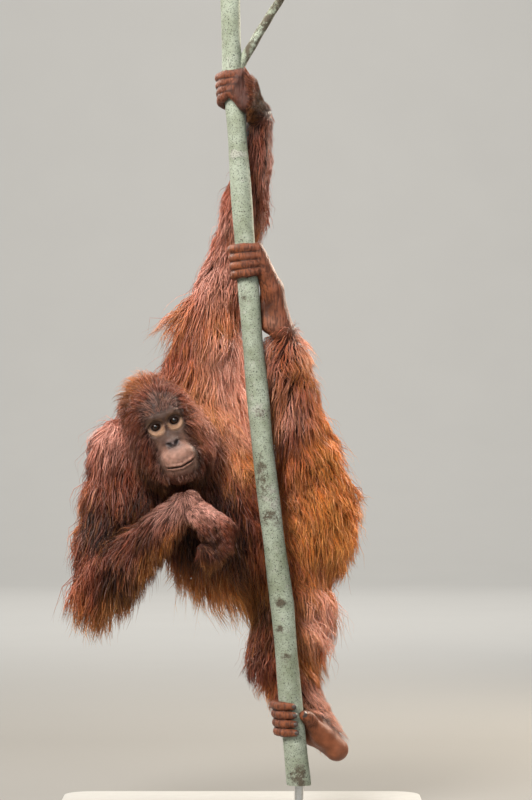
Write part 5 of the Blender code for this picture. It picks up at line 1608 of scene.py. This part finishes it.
def trunk_part():
    """The cut sapling with its side branch."""
    heights = np.linspace(SAPLING_LINE[0][2], SAPLING_LINE[-1][2], TRUNK_RINGS)
    across = smooth_line(heights)
    centres = [np.array((x, 0.0, z)) for x, z in zip(across, heights)]
    level = (np.array((1.0, 0.0, 0.0)), np.array((0.0, -1.0, 0.0)))
    frames = [level] * len(centres)

    def trunk_radius(index, turn):
        edge = min(index, TRUNK_RINGS - 1 - index)
        return trunk_surface(heights[index], turn) - (0.0010 if edge == 0 else 0.0)

    trunk = ringed("trunk", centres, frames, trunk_radius, TRUNK_SIDES)
    stations = np.array(BRANCH)
    shares = np.linspace(0.0, 1.0, len(stations))
    fine = np.linspace(0.0, 1.0, BRANCH_RINGS)
    line = np.stack([np.interp(fine, shares, stations[:, axis]) for axis in range(4)], axis=1)
    for _ in range(6):
        line[1:-1] = (line[:-2] + line[1:-1] * 2.0 + line[2:]) / 4.0
    ahead = units(np.gradient(line[:, :3], axis=0))
    branch_frames = []
    for direction in ahead:
        first = unit(np.cross((0.0, 1.0, 0.0), direction))
        branch_frames.append((first, np.cross(first, direction)))
    swell = 1.0 + 0.35 * np.exp(-((fine / 0.14) ** 2))

    def branch_radius(index, turn):
        wobble = 0.0004 * math.sin(3.0 * turn + index * 0.5)
        return line[index, 3] * swell[index] + wobble

    branch = ringed("branch", [point[:3] for point in line], branch_frames, branch_radius, BRANCH_SIDES)
    for part in (trunk, branch):
        work = bmesh.new()
        work.from_mesh(part.data)
        bmesh.ops.recalc_face_normals(work, faces=work.faces)
        work.to_mesh(part.data)
        work.free()
    joined(trunk, [branch])
    trunk.data.shade_smooth()
    trunk.data.set_sharp_from_angle(angle=math.radians(50.0))
    return trunk


# Materials
class Nodes:
    """A material's node tree, with short ways to add and join its nodes."""

    def __init__(self, name):
        self.material = bpy.data.materials.new(name)
        self.material.use_nodes = True
        self.tree = self.material.node_tree
        self.shader = self.tree.nodes["Principled BSDF"]
        self.output = self.tree.nodes["Material Output"]

    def add(self, kind, inputs=None, **settings):
        node = self.tree.nodes.new(kind)
        for key, value in settings.items():
            setattr(node, key, value)
        for key, value in (inputs or {}).items():
            self.set(node.inputs[key], value)
        return node

    def set(self, socket, value):
        if isinstance(value, bpy.types.NodeSocket):
            self.tree.links.new(value, socket)
        else:
            socket.default_value = value

    def mix(self, share, first, second, blend="MIX"):
        """One colour mixed with another by a share."""
        node = self.tree.nodes.new("ShaderNodeMix")
        node.data_type = "RGBA"
        node.blend_type = blend
        self.set(node.inputs["Factor"], share)
        self.set(node.inputs["A"], first)
        self.set(node.inputs["B"], second)
        return node.outputs["Result"]

    def mark(self, name):
        """A colour attribute's red, green, blue and alpha."""
        held = self.add("ShaderNodeAttribute", attribute_name=name)
        parted = self.add("ShaderNodeSeparateColor", {"Color": held.outputs["Color"]})
        return (*parted.outputs, held.outputs["Alpha"], held.outputs["Color"])

    def band(self, value, low, high, out_low=0.0, out_high=1.0):
        """A value stretched from one range to another, and kept in it."""
        node = self.add(
            "ShaderNodeMapRange",
            {"Value": value, "From Min": low, "From Max": high, "To Min": out_low, "To Max": out_high},
        )
        return node.outputs["Result"]

    def maths(self, operation, first, second=0.0):
        node = self.add("ShaderNodeMath", operation=operation)
        self.set(node.inputs[0], first)
        self.set(node.inputs[1], second)
        return node.outputs["Value"]

    def noise(self, scale, detail=4.0, roughness=0.55, vector=None):
        place = vector or self.add("ShaderNodeTexCoord").outputs["Object"]
        node = self.add(
            "ShaderNodeTexNoise", {"Vector": place, "Scale": scale, "Detail": detail, "Roughness": roughness}
        )
        return node.outputs["Fac"]


def rgb(red, green, blue):
    return (red, green, blue, 1.0)


COAT_SHADE = rgb(0.009, 0.0030, 0.0030)
COAT_BROWN = rgb(0.560, 0.125, 0.058)
COAT_ORANGE = rgb(0.980, 0.300, 0.035)
COAT_GLOW_TIP = rgb(1.000, 0.640, 0.240)
COAT_PINK_SHEEN = rgb(0.950, 0.530, 0.430)


def coat_material():
    """Hair: redder and paler to its tip, with painted shade at its root, a painted glow of orange and gold where the
    coat is backlit, a painted pink sheen where it catches the light, and glowing where light comes through.
    """
    made = Nodes("orangutan_hair")
    tone, warm_and_glow, pale, along, _ = made.mark("marks")
    colour = made.mix(tone, COAT_SHADE, COAT_BROWN)
    # Orange: the coat's own colour, brightened by a painted glow where it is backlit
    orange = made.maths("MULTIPLY", warm_and_glow, made.band(along, 0.05, 0.8, 0.35, 1.0))
    colour = made.mix(orange, colour, COAT_ORANGE)
    # Painted golden glow at the tips of backlit hair
    tip = made.maths("MULTIPLY", warm_and_glow, made.band(along, 0.50, 1.0, 0.0, 0.8))
    colour = made.mix(tip, colour, COAT_GLOW_TIP)
    # Painted pink sheen
    colour = made.mix(made.maths("MULTIPLY", pale, 0.88), colour, COAT_PINK_SHEEN)
    # Painted shade at the roots, deep in the coat
    root_shade = made.band(along, 0.0, 0.40, 0.32, 1.0)
    shade = made.add("ShaderNodeCombineColor", {"Red": root_shade, "Green": root_shade, "Blue": root_shade}).outputs["Color"]
    colour = made.mix(1.0, colour, shade, "MULTIPLY")
    streak = made.band(made.noise(260.0, 3.0), 0.3, 0.7, 0.78, 1.15)
    streaked = made.add("ShaderNodeCombineColor", {"Red": streak, "Green": streak, "Blue": streak}).outputs["Color"]
    colour = made.mix(1.0, colour, streaked, "MULTIPLY")
    made.set(made.shader.inputs["Base Color"], colour)
    made.set(made.shader.inputs["Roughness"], made.band(made.noise(90.0, 2.0), 0.3, 0.7, 0.36, 0.52))
    made.shader.inputs["Specular IOR Level"].default_value = 0.28
    through = made.add("ShaderNodeBsdfTranslucent", {"Color": colour})
    both = made.add("ShaderNodeMixShader", {0: 0.20, 1: made.shader.outputs[0], 2: through.outputs[0]})
    made.set(made.output.inputs["Surface"], both.outputs[0])
    return made.material


FOLD_SHADE_COLOUR = rgb(0.040, 0.015, 0.010)


def skin_material():
    """Bare skin: its colour from its marks, fine creases, and folds across the digits with painted shade in their
    depths.
    """
    made = Nodes("orangutan_skin")
    *_, folded, colour = made.mark("marks")
    blotch = made.band(made.noise(70.0, 5.0), 0.3, 0.7, 0.80, 1.16)
    blotched = made.add("ShaderNodeCombineColor", {"Red": blotch, "Green": blotch, "Blue": blotch}).outputs["Color"]
    colour = made.mix(1.0, colour, blotched, "MULTIPLY")
    fine = made.add("ShaderNodeTexVoronoi", {"Scale": 800.0}, feature="DISTANCE_TO_EDGE")
    place = made.add("ShaderNodeTexCoord").outputs["Object"]
    made.set(fine.inputs["Vector"], place)
    cells = made.band(fine.outputs["Distance"], 0.0, 0.12)
    crease = made.noise(240.0, 6.0, 0.65)
    height = made.maths("ADD", made.maths("MULTIPLY", cells, 0.35), crease)
    upright = made.add("ShaderNodeMapping", {"Vector": place, "Scale": (1.0, 1.0, 0.22)}).outputs["Vector"]
    folds = made.band(made.noise(230.0, 3.0, 0.5, upright), 0.40, 0.62)
    folded = made.maths("SUBTRACT", 1.0, folded)
    height = made.maths("ADD", height, made.maths("MULTIPLY", made.maths("MULTIPLY", folds, folded), 2.6))
    # Painted shade in the depth of each fold
    deep = made.maths("MULTIPLY", made.band(folds, 0.55, 0.0, 0.0, 0.65), folded)
    colour = made.mix(deep, colour, FOLD_SHADE_COLOUR)
    made.set(made.shader.inputs["Base Color"], colour)
    made.set(made.shader.inputs["Roughness"], made.band(crease, 0.3, 0.7, 0.34, 0.54))
    made.shader.inputs["Specular IOR Level"].default_value = 0.22
    made.shader.inputs["Subsurface Weight"].default_value = 0.08
    made.shader.inputs["Subsurface Radius"].default_value = (0.006, 0.002, 0.001)
    lifted = made.add("ShaderNodeBump", {"Height": height, "Strength": 0.55, "Distance": 0.0008})
    made.set(made.shader.inputs["Normal"], lifted.outputs["Normal"])
    return made.material


def eye_material():
    made = Nodes("orangutan_eye")
    *_, colour = made.mark("marks")
    cloud = made.band(made.noise(500.0, 2.0), 0.3, 0.7, 0.85, 1.1)
    clouded = made.add("ShaderNodeCombineColor", {"Red": cloud, "Green": cloud, "Blue": cloud}).outputs["Color"]
    made.set(made.shader.inputs["Base Color"], made.mix(1.0, colour, clouded, "MULTIPLY"))
    made.shader.inputs["Roughness"].default_value = 0.05
    made.shader.inputs["Specular IOR Level"].default_value = 0.5
    return made.material


def nail_material():
    made = Nodes("orangutan_nail")
    ridges = made.band(made.noise(400.0, 3.0), 0.3, 0.7)
    made.set(made.shader.inputs["Base Color"], made.mix(ridges, rgb(0.030, 0.020, 0.017), rgb(0.075, 0.050, 0.040)))
    made.set(made.shader.inputs["Roughness"], made.band(ridges, 0.0, 1.0, 0.28, 0.42))
    lifted = made.add("ShaderNodeBump", {"Height": ridges, "Strength": 0.2, "Distance": 0.0003})
    made.set(made.shader.inputs["Normal"], lifted.outputs["Normal"])
    return made.material


BARK_PALE = rgb(0.350, 0.390, 0.315)
BARK_GREEN = rgb(0.190, 0.215, 0.145)
BARK_BROWN = rgb(0.060, 0.040, 0.024)
BARK_LICHEN = rgb(0.380, 0.380, 0.330)
BARK_SPECK = rgb(0.020, 0.019, 0.014)


def bark_material():
    """Pale grey-green bark with dark specks, cross lines, and lichen and brown patches at their places."""
    made = Nodes("bark")
    patch_brown, patch_pale, *_ = made.mark("marks")
    place = made.add("ShaderNodeTexCoord").outputs["Object"]
    broad = made.noise(14.0, 6.0, 0.65, place)
    colour = made.mix(made.band(broad, 0.36, 0.64), BARK_GREEN, BARK_PALE)
    cloud = made.noise(75.0, 6.0, 0.7, place)
    pale_level = made.maths("ADD", cloud, made.maths("MULTIPLY", patch_pale, 0.30))
    colour = made.mix(made.band(pale_level, 0.58, 0.68, 0.0, 0.75), colour, BARK_LICHEN)
    blotch = made.noise(150.0, 7.0, 0.80, place)
    torn = made.band(made.noise(48.0, 5.0, 0.7, place), 0.35, 0.65, 0.05, 0.60)
    brown_level = made.maths("ADD", blotch, made.maths("MULTIPLY", patch_brown, torn))
    colour = made.mix(made.band(brown_level, 0.56, 0.78, 0.0, 0.90), colour, BARK_BROWN)
    stretched = made.add("ShaderNodeMapping", {"Vector": place, "Scale": (1.0, 1.0, 6.0)}).outputs["Vector"]
    rings = made.noise(60.0, 4.0, 0.6, stretched)
    colour = made.mix(made.band(rings, 0.58, 0.75, 0.0, 0.55), colour, BARK_BROWN)
    dots = None
    for scale, size, most in ((330.0, 0.36, 0.72), (160.0, 0.24, 0.85)):
        specks = made.add("ShaderNodeTexVoronoi", {"Vector": place, "Scale": scale})
        ring = made.band(specks.outputs["Distance"], size, size * 0.5)
        colour = made.mix(made.maths("MULTIPLY", ring, most), colour, BARK_SPECK)
        dots = ring if dots is None else made.maths("ADD", dots, ring)
    made.set(made.shader.inputs["Base Color"], colour)
    made.set(made.shader.inputs["Roughness"], made.band(broad, 0.3, 0.7, 0.62, 0.85))
    made.shader.inputs["Specular IOR Level"].default_value = 0.3
    height = made.maths("ADD", made.maths("MULTIPLY", rings, 0.6), made.maths("MULTIPLY", dots, -0.4))
    height = made.maths("ADD", height, made.maths("MULTIPLY", blotch, 0.8))
    lifted = made.add("ShaderNodeBump", {"Height": height, "Strength": 0.75, "Distance": 0.0014})
    made.set(made.shader.inputs["Normal"], lifted.outputs["Normal"])
    return made.material


# Patches of the bark: height, way it faces, half height, half width in degrees, and how brown and how pale
BARK_PATCHES = (
    (1.334, 90.0, 0.007, 80.0, 0.2, 2.0),
    (0.818, 75.0, 0.014, 70.0, 1.0, 1.4),
    (0.690, 115.0, 0.040, 40.0, 1.7, 0.4),
    (0.640, 60.0, 0.030, 45.0, 0.6, 1.2),
    (0.610, 95.0, 0.016, 60.0, 1.6, 0.6),
    (0.440, 100.0, 0.008, 30.0, 2.2, 0.0),
    (0.390, 110.0, 0.007, 30.0, 2.2, 0.0),
    (0.332, 95.0, 0.008, 30.0, 2.0, 0.0),
    (0.095, 85.0, 0.022, 50.0, 2.0, 0.3),
    (1.050, 120.0, 0.020, 35.0, 0.9, 0.6),
)


BRANCH_BROWN = 0.85


def paint_bark(trunk):
    """Write where the bark's patches are to its corners."""
    points = np.zeros(len(trunk.data.vertices) * 3)
    trunk.data.vertices.foreach_get("co", points)
    points = points.reshape(-1, 3)
    heights = [point[2] for point in SAPLING_LINE]
    axis_x = np.interp(points[:, 2], heights, [point[0] for point in SAPLING_LINE])
    facing = np.degrees(np.arctan2(-points[:, 1], points[:, 0] - axis_x))
    colour = np.zeros((len(points), 4), np.float32)
    colour[:, 3] = 1.0
    for height, way, tall, wide, brown, pale in BARK_PATCHES:
        turn = (facing - way + 180.0) % 360.0 - 180.0
        share = np.exp(-((points[:, 2] - height) / tall) ** 2 - (turn / wide) ** 2)
        colour[:, 0] = np.maximum(colour[:, 0], 0.5 * brown * share)
        colour[:, 1] = np.maximum(colour[:, 1], 0.5 * pale * share)
    on_branch = ramp(np.hypot(points[:, 0] - axis_x, points[:, 1]), 0.022, 0.034)
    colour[:, 0] = np.maximum(colour[:, 0], BRANCH_BROWN * on_branch)
    held = trunk.data.attributes.new("marks", "FLOAT_COLOR", "POINT")
    held.data.foreach_set("color", colour.reshape(-1))


def base_material():
    made = Nodes("base_paint")
    grain = made.noise(420.0, 3.0)
    made.set(made.shader.inputs["Base Color"], made.mix(grain, rgb(0.270, 0.265, 0.250), rgb(0.310, 0.305, 0.290)))
    made.set(made.shader.inputs["Roughness"], made.band(made.noise(30.0, 3.0), 0.3, 0.7, 0.42, 0.52))
    lifted = made.add("ShaderNodeBump", {"Height": grain, "Strength": 0.12, "Distance": 0.0003})
    made.set(made.shader.inputs["Normal"], lifted.outputs["Normal"])
    return made.material


def rod_material():
    made = Nodes("brushed_rod")
    place = made.add("ShaderNodeTexCoord").outputs["Object"]
    lines = made.add("ShaderNodeMapping", {"Vector": place, "Scale": (1.0, 1.0, 40.0)}).outputs["Vector"]
    brushed = made.noise(120.0, 2.0, 0.5, lines)
    made.set(made.shader.inputs["Base Color"], made.mix(brushed, rgb(0.50, 0.50, 0.49), rgb(0.62, 0.62, 0.60)))
    made.shader.inputs["Metallic"].default_value = 1.0
    made.set(made.shader.inputs["Roughness"], made.band(brushed, 0.3, 0.7, 0.26, 0.40))
    return made.material


# Colour of the skin, by place
FLESH = np.array((0.035, 0.012, 0.009))
FACE_BROWN = np.array((0.062, 0.033, 0.022))
BROW_DARK = np.array((0.046, 0.024, 0.019))
RING_TAN = np.array((0.185, 0.100, 0.055))
BAG_PALE = np.array((0.330, 0.195, 0.125))
LID_DARK = np.array((0.022, 0.012, 0.010))
NOSE_BLUE = np.array((0.110, 0.088, 0.086))
NOSTRIL_SHADE = np.array((0.010, 0.006, 0.006))
MUZZLE_TAN = np.array((0.270, 0.142, 0.104))
LIP_ROSE = np.array((0.200, 0.094, 0.066))
CHIN_DARK = np.array((0.050, 0.024, 0.014))
MOUTH_LINE_SHADE = np.array((0.014, 0.008, 0.007))
HAND_BROWN = np.array((0.175, 0.056, 0.028))
SOLE_BROWN = np.array((0.200, 0.062, 0.026))
BACK_DARK = np.array((0.050, 0.020, 0.016))
PINK_SHEEN_SKIN = np.array((0.220, 0.105, 0.080))


def blended(colours, tint, share):
    return colours + (tint[None] - colours) * np.clip(share, 0.0, 1.0)[:, None]


DIGIT_GAP = 0.0032
# Painted shade where digits meet and in hollows
CREASE_SHADE_COLOUR = np.array((0.018, 0.007, 0.005))


# Painted shadows: in the upper foot's sole hollow beside the sapling, and in the free hand's palm
HOLLOW_SHADOWS = (((0.000, -0.004, 1.032), 0.017, 1.0), ((-0.100, -0.110, 0.575), 0.016, 0.8))
# Painted highlights on the heel pads
PAD_HIGHLIGHTS = (((0.012, -0.002, 0.998), 0.015, 0.9), ((0.150, 0.020, 0.145), 0.020, 0.2))
PAD_HIGHLIGHT_COLOUR = np.array((0.270, 0.115, 0.070))


def shade_between_digits(points, name):
    """Painted shade between digits: 1 where two digits of a hand or foot meet, 0 away from their line."""
    digits = free_fingers() if name == "hand_right" else digit_stations(name)[0]
    distances = np.sort([chain(points, stations) for stations in digits], axis=0)
    return ramp(distances[1] - distances[0], DIGIT_GAP, 0.0) * ramp(distances[0], 0.008, 0.004)


def skin_colours(points, normals):
    """Colour of the bare skin, with painted shade in its creases, hollows, nostrils, mouth line and upper lids and on
    the free hand, a painted shadow below the lower lip and painted highlights on the heel pads; and of the skin under
    the coat, from the coat's tones and painted light.
    """
    tone, warm_and_glow, pale = tones_and_painted_light(points, normals)
    # Skin under the coat takes the coat's painted shade, glow and pink sheen with its tones
    colours = FLESH[None] * (0.35 + 0.5 * tone + 0.35 * warm_and_glow)[:, None]
    colours = blended(colours, PINK_SHEEN_SKIN, 0.5 * pale)
    local = in_head(points)
    face = bare_face(local)
    right, _, up = local.T
    bare = np.repeat(FACE_BROWN[None], len(points), axis=0)
    muzzle = bump(up, -0.070, 0.030) * ramp(np.abs(right), 0.042, 0.026)
    bare = blended(bare, MUZZLE_TAN, muzzle)
    chin = ramp(up, -0.094, -0.110) + 0.5 * ramp(np.abs(right), 0.022, 0.038) * ramp(up, -0.070, -0.090)
    bare = blended(bare, CHIN_DARK, 0.85 * chin)
    # Painted shadow below the lower lip
    shadow_below_lip = bump(up, mouth_height(local) - 0.0125, 0.0040) * ramp(np.abs(right), 0.030, 0.015)
    bare = blended(bare, CHIN_DARK, 0.55 * shadow_below_lip)
    bare = blended(bare, BROW_DARK, 0.85 * ramp(up, 0.016, 0.030))
    for side in (-1.0, 1.0):
        off = right - side * EYE_HALF_SPACING
        under = ramp(-up, -0.004, 0.006)
        round_eye = np.sqrt((off * 0.94) ** 2 + ((up + 0.001) * (1.08 - 0.12 * under)) ** 2)
        bare = blended(bare, RING_TAN, (0.30 + 0.50 * under) * ramp(round_eye, 0.0222, 0.0130))
        uneven = 0.80 + 0.20 * ripple(local, 0.0050, 4.0 + side)
        bare = blended(bare, BAG_PALE, 0.95 * bump(round_eye, 0.0130, 0.0036) * under * uneven)
        bare = blended(bare, BAG_PALE, 0.40 * bump(round_eye, 0.0168, 0.0020) * (1.0 - under) * uneven)
        # Painted shade on the upper lid, under the brow
        bare = blended(bare, LID_DARK, 0.55 * bump(round_eye, 0.0120, 0.0030) * (1.0 - under))
        bare = blended(bare, LID_DARK, 0.92 * ramp(np.sqrt((off / 1.22) ** 2 + (up * 1.02) ** 2), 0.0098, 0.0080))
        # Painted shade in the crease below the eye bag
        bare = blended(bare, BROW_DARK, 0.60 * bump(round_eye, 0.0190, 0.0022) * under)
    between_eyes = bump(right, 0.0, 0.0045) * bump(up, -0.004, 0.018)
    bare = blended(bare, BROW_DARK, 0.85 * between_eyes)
    beside_nose = bump(np.abs(right), 0.016, 0.008) * bump(up, -0.030, 0.010)
    bare = blended(bare, BROW_DARK, 0.45 * beside_nose)
    nose = bump(up, -0.0400, 0.0090) * ramp(np.abs(right), 0.0175, 0.0095)
    bare = blended(bare, NOSE_BLUE, 0.85 * nose)
    slope = -0.0475 + 0.62 * np.abs(right)
    # Painted shade in the nostrils
    opening = bump(up, slope + 0.0022, 0.0032) * bump(np.abs(right), 0.0068, 0.0046)
    bare = blended(bare, NOSTRIL_SHADE, 1.3 * opening)
    gap = np.abs(up - mouth_height(local))
    in_lips = ramp(np.abs(right), MOUTH_HALF_WIDTH + 0.004, MOUTH_HALF_WIDTH - 0.004)
    bare = blended(bare, LIP_ROSE, 0.45 * bump(gap, 0.003, 0.0040) * in_lips)
    # Painted shade in the line between the lips
    ends = ramp(np.abs(right), MOUTH_HALF_WIDTH + 0.001, MOUTH_HALF_WIDTH - 0.003)
    bare = blended(bare, MOUTH_LINE_SHADE, 0.95 * ramp(gap, 0.0018, 0.0008) * ends)
    bare = bare * (1.0 + 0.15 * ripple(local, 0.010, 1.0) + 0.14 * ripple(local, 0.005, 3.0))[:, None]
    colours = colours + (bare - colours) * face[:, None]
    folded = 0.5 * face * bump(gap, 0.0, 0.012) * ramp(np.abs(right), 0.040, 0.030)
    for name, (_, wrist, knuckles, _, facing) in BACKS.items():
        inside, along = hand_share(points, name)
        under = ramp(normals @ unit(facing), 0.3, -0.5)
        hand = blended(np.repeat(HAND_BROWN[None], len(points), axis=0), SOLE_BROWN, under)
        # Painted shade over the whole free hand
        shaded = 0.6 if name == "hand_right" else 0.0
        haired = hand_hair(points, normals, name)
        hand = blended(hand, BACK_DARK, np.maximum(shaded, 0.8 * haired))
        hand = blended(hand, PINK_SHEEN_SKIN, 0.5 * pale * haired)
        hand = hand * (1.0 + 0.18 * ripple(points, 0.014, 2.0) + 0.10 * ripple(points, 0.005, 1.0))[:, None]
        # Painted highlights on the heel pads
        hand = blended(hand, PAD_HIGHLIGHT_COLOUR, spots(points, PAD_HIGHLIGHTS))
        # Painted shadows in the hollows, and painted shade between the digits
        hand = blended(hand, CREASE_SHADE_COLOUR, 0.85 * spots(points, HOLLOW_SHADOWS))
        hand = blended(hand, CREASE_SHADE_COLOUR, 0.9 * shade_between_digits(points, name))
        colours = colours + (hand - colours) * inside[:, None]
        folds = ramp(along, 0.30, 0.60) if name == "foot_right" else 1.0
        folded = np.maximum(folded, inside * folds)
    return np.clip(colours, 0.0, 1.0), folded


def paint_skin(skin):
    """Write the skin's colours to its corners."""
    points = np.zeros(len(skin.data.vertices) * 3)
    skin.data.vertices.foreach_get("co", points)
    points = points.reshape(-1, 3)
    normals = np.zeros(len(points) * 3)
    skin.data.vertices.foreach_get("normal", normals)
    colour = np.ones((len(points), 4), np.float32)
    colour[:, :3], folded = skin_colours(points, normals.reshape(-1, 3))
    colour[:, 3] = 1.0 - folded
    held = skin.data.attributes.new("marks", "FLOAT_COLOR", "POINT")
    held.data.foreach_set("color", colour.reshape(-1))


# The room: floor, light and camera
FLOOR_SIZE = 16.0
FLOOR_BACK = 9.0
WALL_HEIGHT = 9.0
WALL_CURVE = 4.0
CURVE_STEPS = 24
FRONT_FLOOR_SHADE = rgb(0.135, 0.132, 0.125)


def backdrop_part():
    """A floor that curves up into a pale wall; the floor is painted darker towards the front, painted shade that
    evens out the lamps' light on it.
    """
    profile = [(-FLOOR_SIZE / 2, 0.0), (FLOOR_BACK, 0.0)]
    for step in range(1, CURVE_STEPS + 1):
        turn = math.pi / 2 * step / CURVE_STEPS
        profile.append((FLOOR_BACK + WALL_CURVE * math.sin(turn), WALL_CURVE * (1.0 - math.cos(turn))))
    profile.append((FLOOR_BACK + WALL_CURVE, WALL_HEIGHT))
    points = [(x, y, z) for y, z in profile for x in (-FLOOR_SIZE / 2, FLOOR_SIZE / 2)]
    faces = [(2 * i, 2 * i + 1, 2 * i + 3, 2 * i + 2) for i in range(len(profile) - 1)]
    mesh = bpy.data.meshes.new("backdrop")
    mesh.from_pydata(points, [], faces)
    obj = bpy.data.objects.new("backdrop", mesh)
    bpy.context.scene.collection.objects.link(obj)
    mesh.shade_smooth()
    made = Nodes("backdrop_paint")
    place = made.add("ShaderNodeTexCoord").outputs["Object"]
    away = made.add("ShaderNodeSeparateXYZ", {"Vector": place}).outputs["Y"]
    paint = made.mix(made.noise(3.0, 2.0), rgb(0.245, 0.240, 0.228), rgb(0.258, 0.253, 0.240))
    # Painted shade: the floor's paint is darker towards the front, where the lamps light it most
    made.set(made.shader.inputs["Base Color"], made.mix(made.band(away, 0.5, 8.0), FRONT_FLOOR_SHADE, paint))
    made.shader.inputs["Roughness"].default_value = 0.85
    mesh.materials.append(made.material)


# Each light's place, what it looks at, its power, colour and size
LIGHT_TARGET = (-0.05, 0.05, 0.80)
LIGHTS = {
    "key_light": ((-1.6, -3.2, 3.4), LIGHT_TARGET, 335.0, (1.0, 0.96, 0.91), 1.6),
    "fill_light": ((2.0, -4.2, 2.2), LIGHT_TARGET, 55.0, (0.95, 0.98, 1.0), 1.2),
    "back_light": ((1.9, 2.0, 2.2), LIGHT_TARGET, 210.0, (1.0, 0.88, 0.72), 1.4),
    "rim_light": ((-2.2, 1.9, 2.4), LIGHT_TARGET, 85.0, (1.0, 0.94, 0.86), 1.4),
    "top_light": ((-0.2, 0.6, 3.8), LIGHT_TARGET, 120.0, (1.0, 0.98, 0.94), 1.4),
    "wall_light": ((0.0, 4.0, 6.0), (0.0, 13.0, 2.5), 1600.0, (1.0, 0.98, 0.95), 4.0),
}
WORLD_STRENGTH = 0.25


def light_room():
    for name, (place, target, power, colour, size) in LIGHTS.items():
        data = bpy.data.lights.new(name, "AREA")
        data.energy = power
        data.color = colour
        data.size = size
        obj = bpy.data.objects.new(name, data)
        obj.location = place
        obj.rotation_euler = (Vector(target) - Vector(place)).to_track_quat("-Z", "Y").to_euler()
        bpy.context.scene.collection.objects.link(obj)
    world = bpy.data.worlds.new("room")
    bpy.context.scene.world = world
    world.use_nodes = True
    world.node_tree.nodes["Background"].inputs["Color"].default_value = rgb(0.90, 0.93, 0.95)
    world.node_tree.nodes["Background"].inputs["Strength"].default_value = WORLD_STRENGTH


def place_camera():
    data = bpy.data.cameras.new("camera")
    data.lens = CAMERA_LENS
    data.sensor_width = CAMERA_SENSOR
    camera = bpy.data.objects.new("camera", data)
    camera.location = CAMERA_PLACE
    camera.rotation_euler = (math.radians(90.0), 0.0, 0.0)
    bpy.context.scene.collection.objects.link(camera)
    bpy.context.scene.camera = camera
    bpy.context.scene.view_settings.view_transform = "Standard"


def dress(obj, material, slot, *nodes):
    """Give a piece its material and the nodes it stands for, and let it ride the body; slot is not used."""
    obj.data.materials.clear()
    obj.data.materials.append(material)
    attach(obj, "root")
    if nodes:
        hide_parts(*nodes)


def main():
    chance = np.random.default_rng(SEED)
    skin = skin_part()
    hills = Hills(np.array(BODY_LOW) - 0.02, np.array(BODY_HIGH) + 0.06, GRID_STEP)
    coat = coat_parts(skin, hills, chance)
    paint_skin(skin)
    dress(skin, skin_material(), "skin", *FLESH_NODES)
    hair = coat_material()
    for piece in coat:
        dress(piece, hair, "coat")
    eye = eye_material()
    dress(eye_part("eyeball_left", 1.0), eye, "eye", "eye_left")
    dress(eye_part("eyeball_right", -1.0), eye, "eye", "eye_right")
    dress(nails_part(), nail_material(), "skin")
    trunk = trunk_part()
    paint_bark(trunk)
    dress(trunk, bark_material(), "bark", "sapling")
    for node, material in (("stand_base", base_material()), ("stand_rod", rod_material())):
        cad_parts[node].data.materials.clear()
        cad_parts[node].data.materials.append(material)
    backdrop_part()
    light_room()
    place_camera()


main()
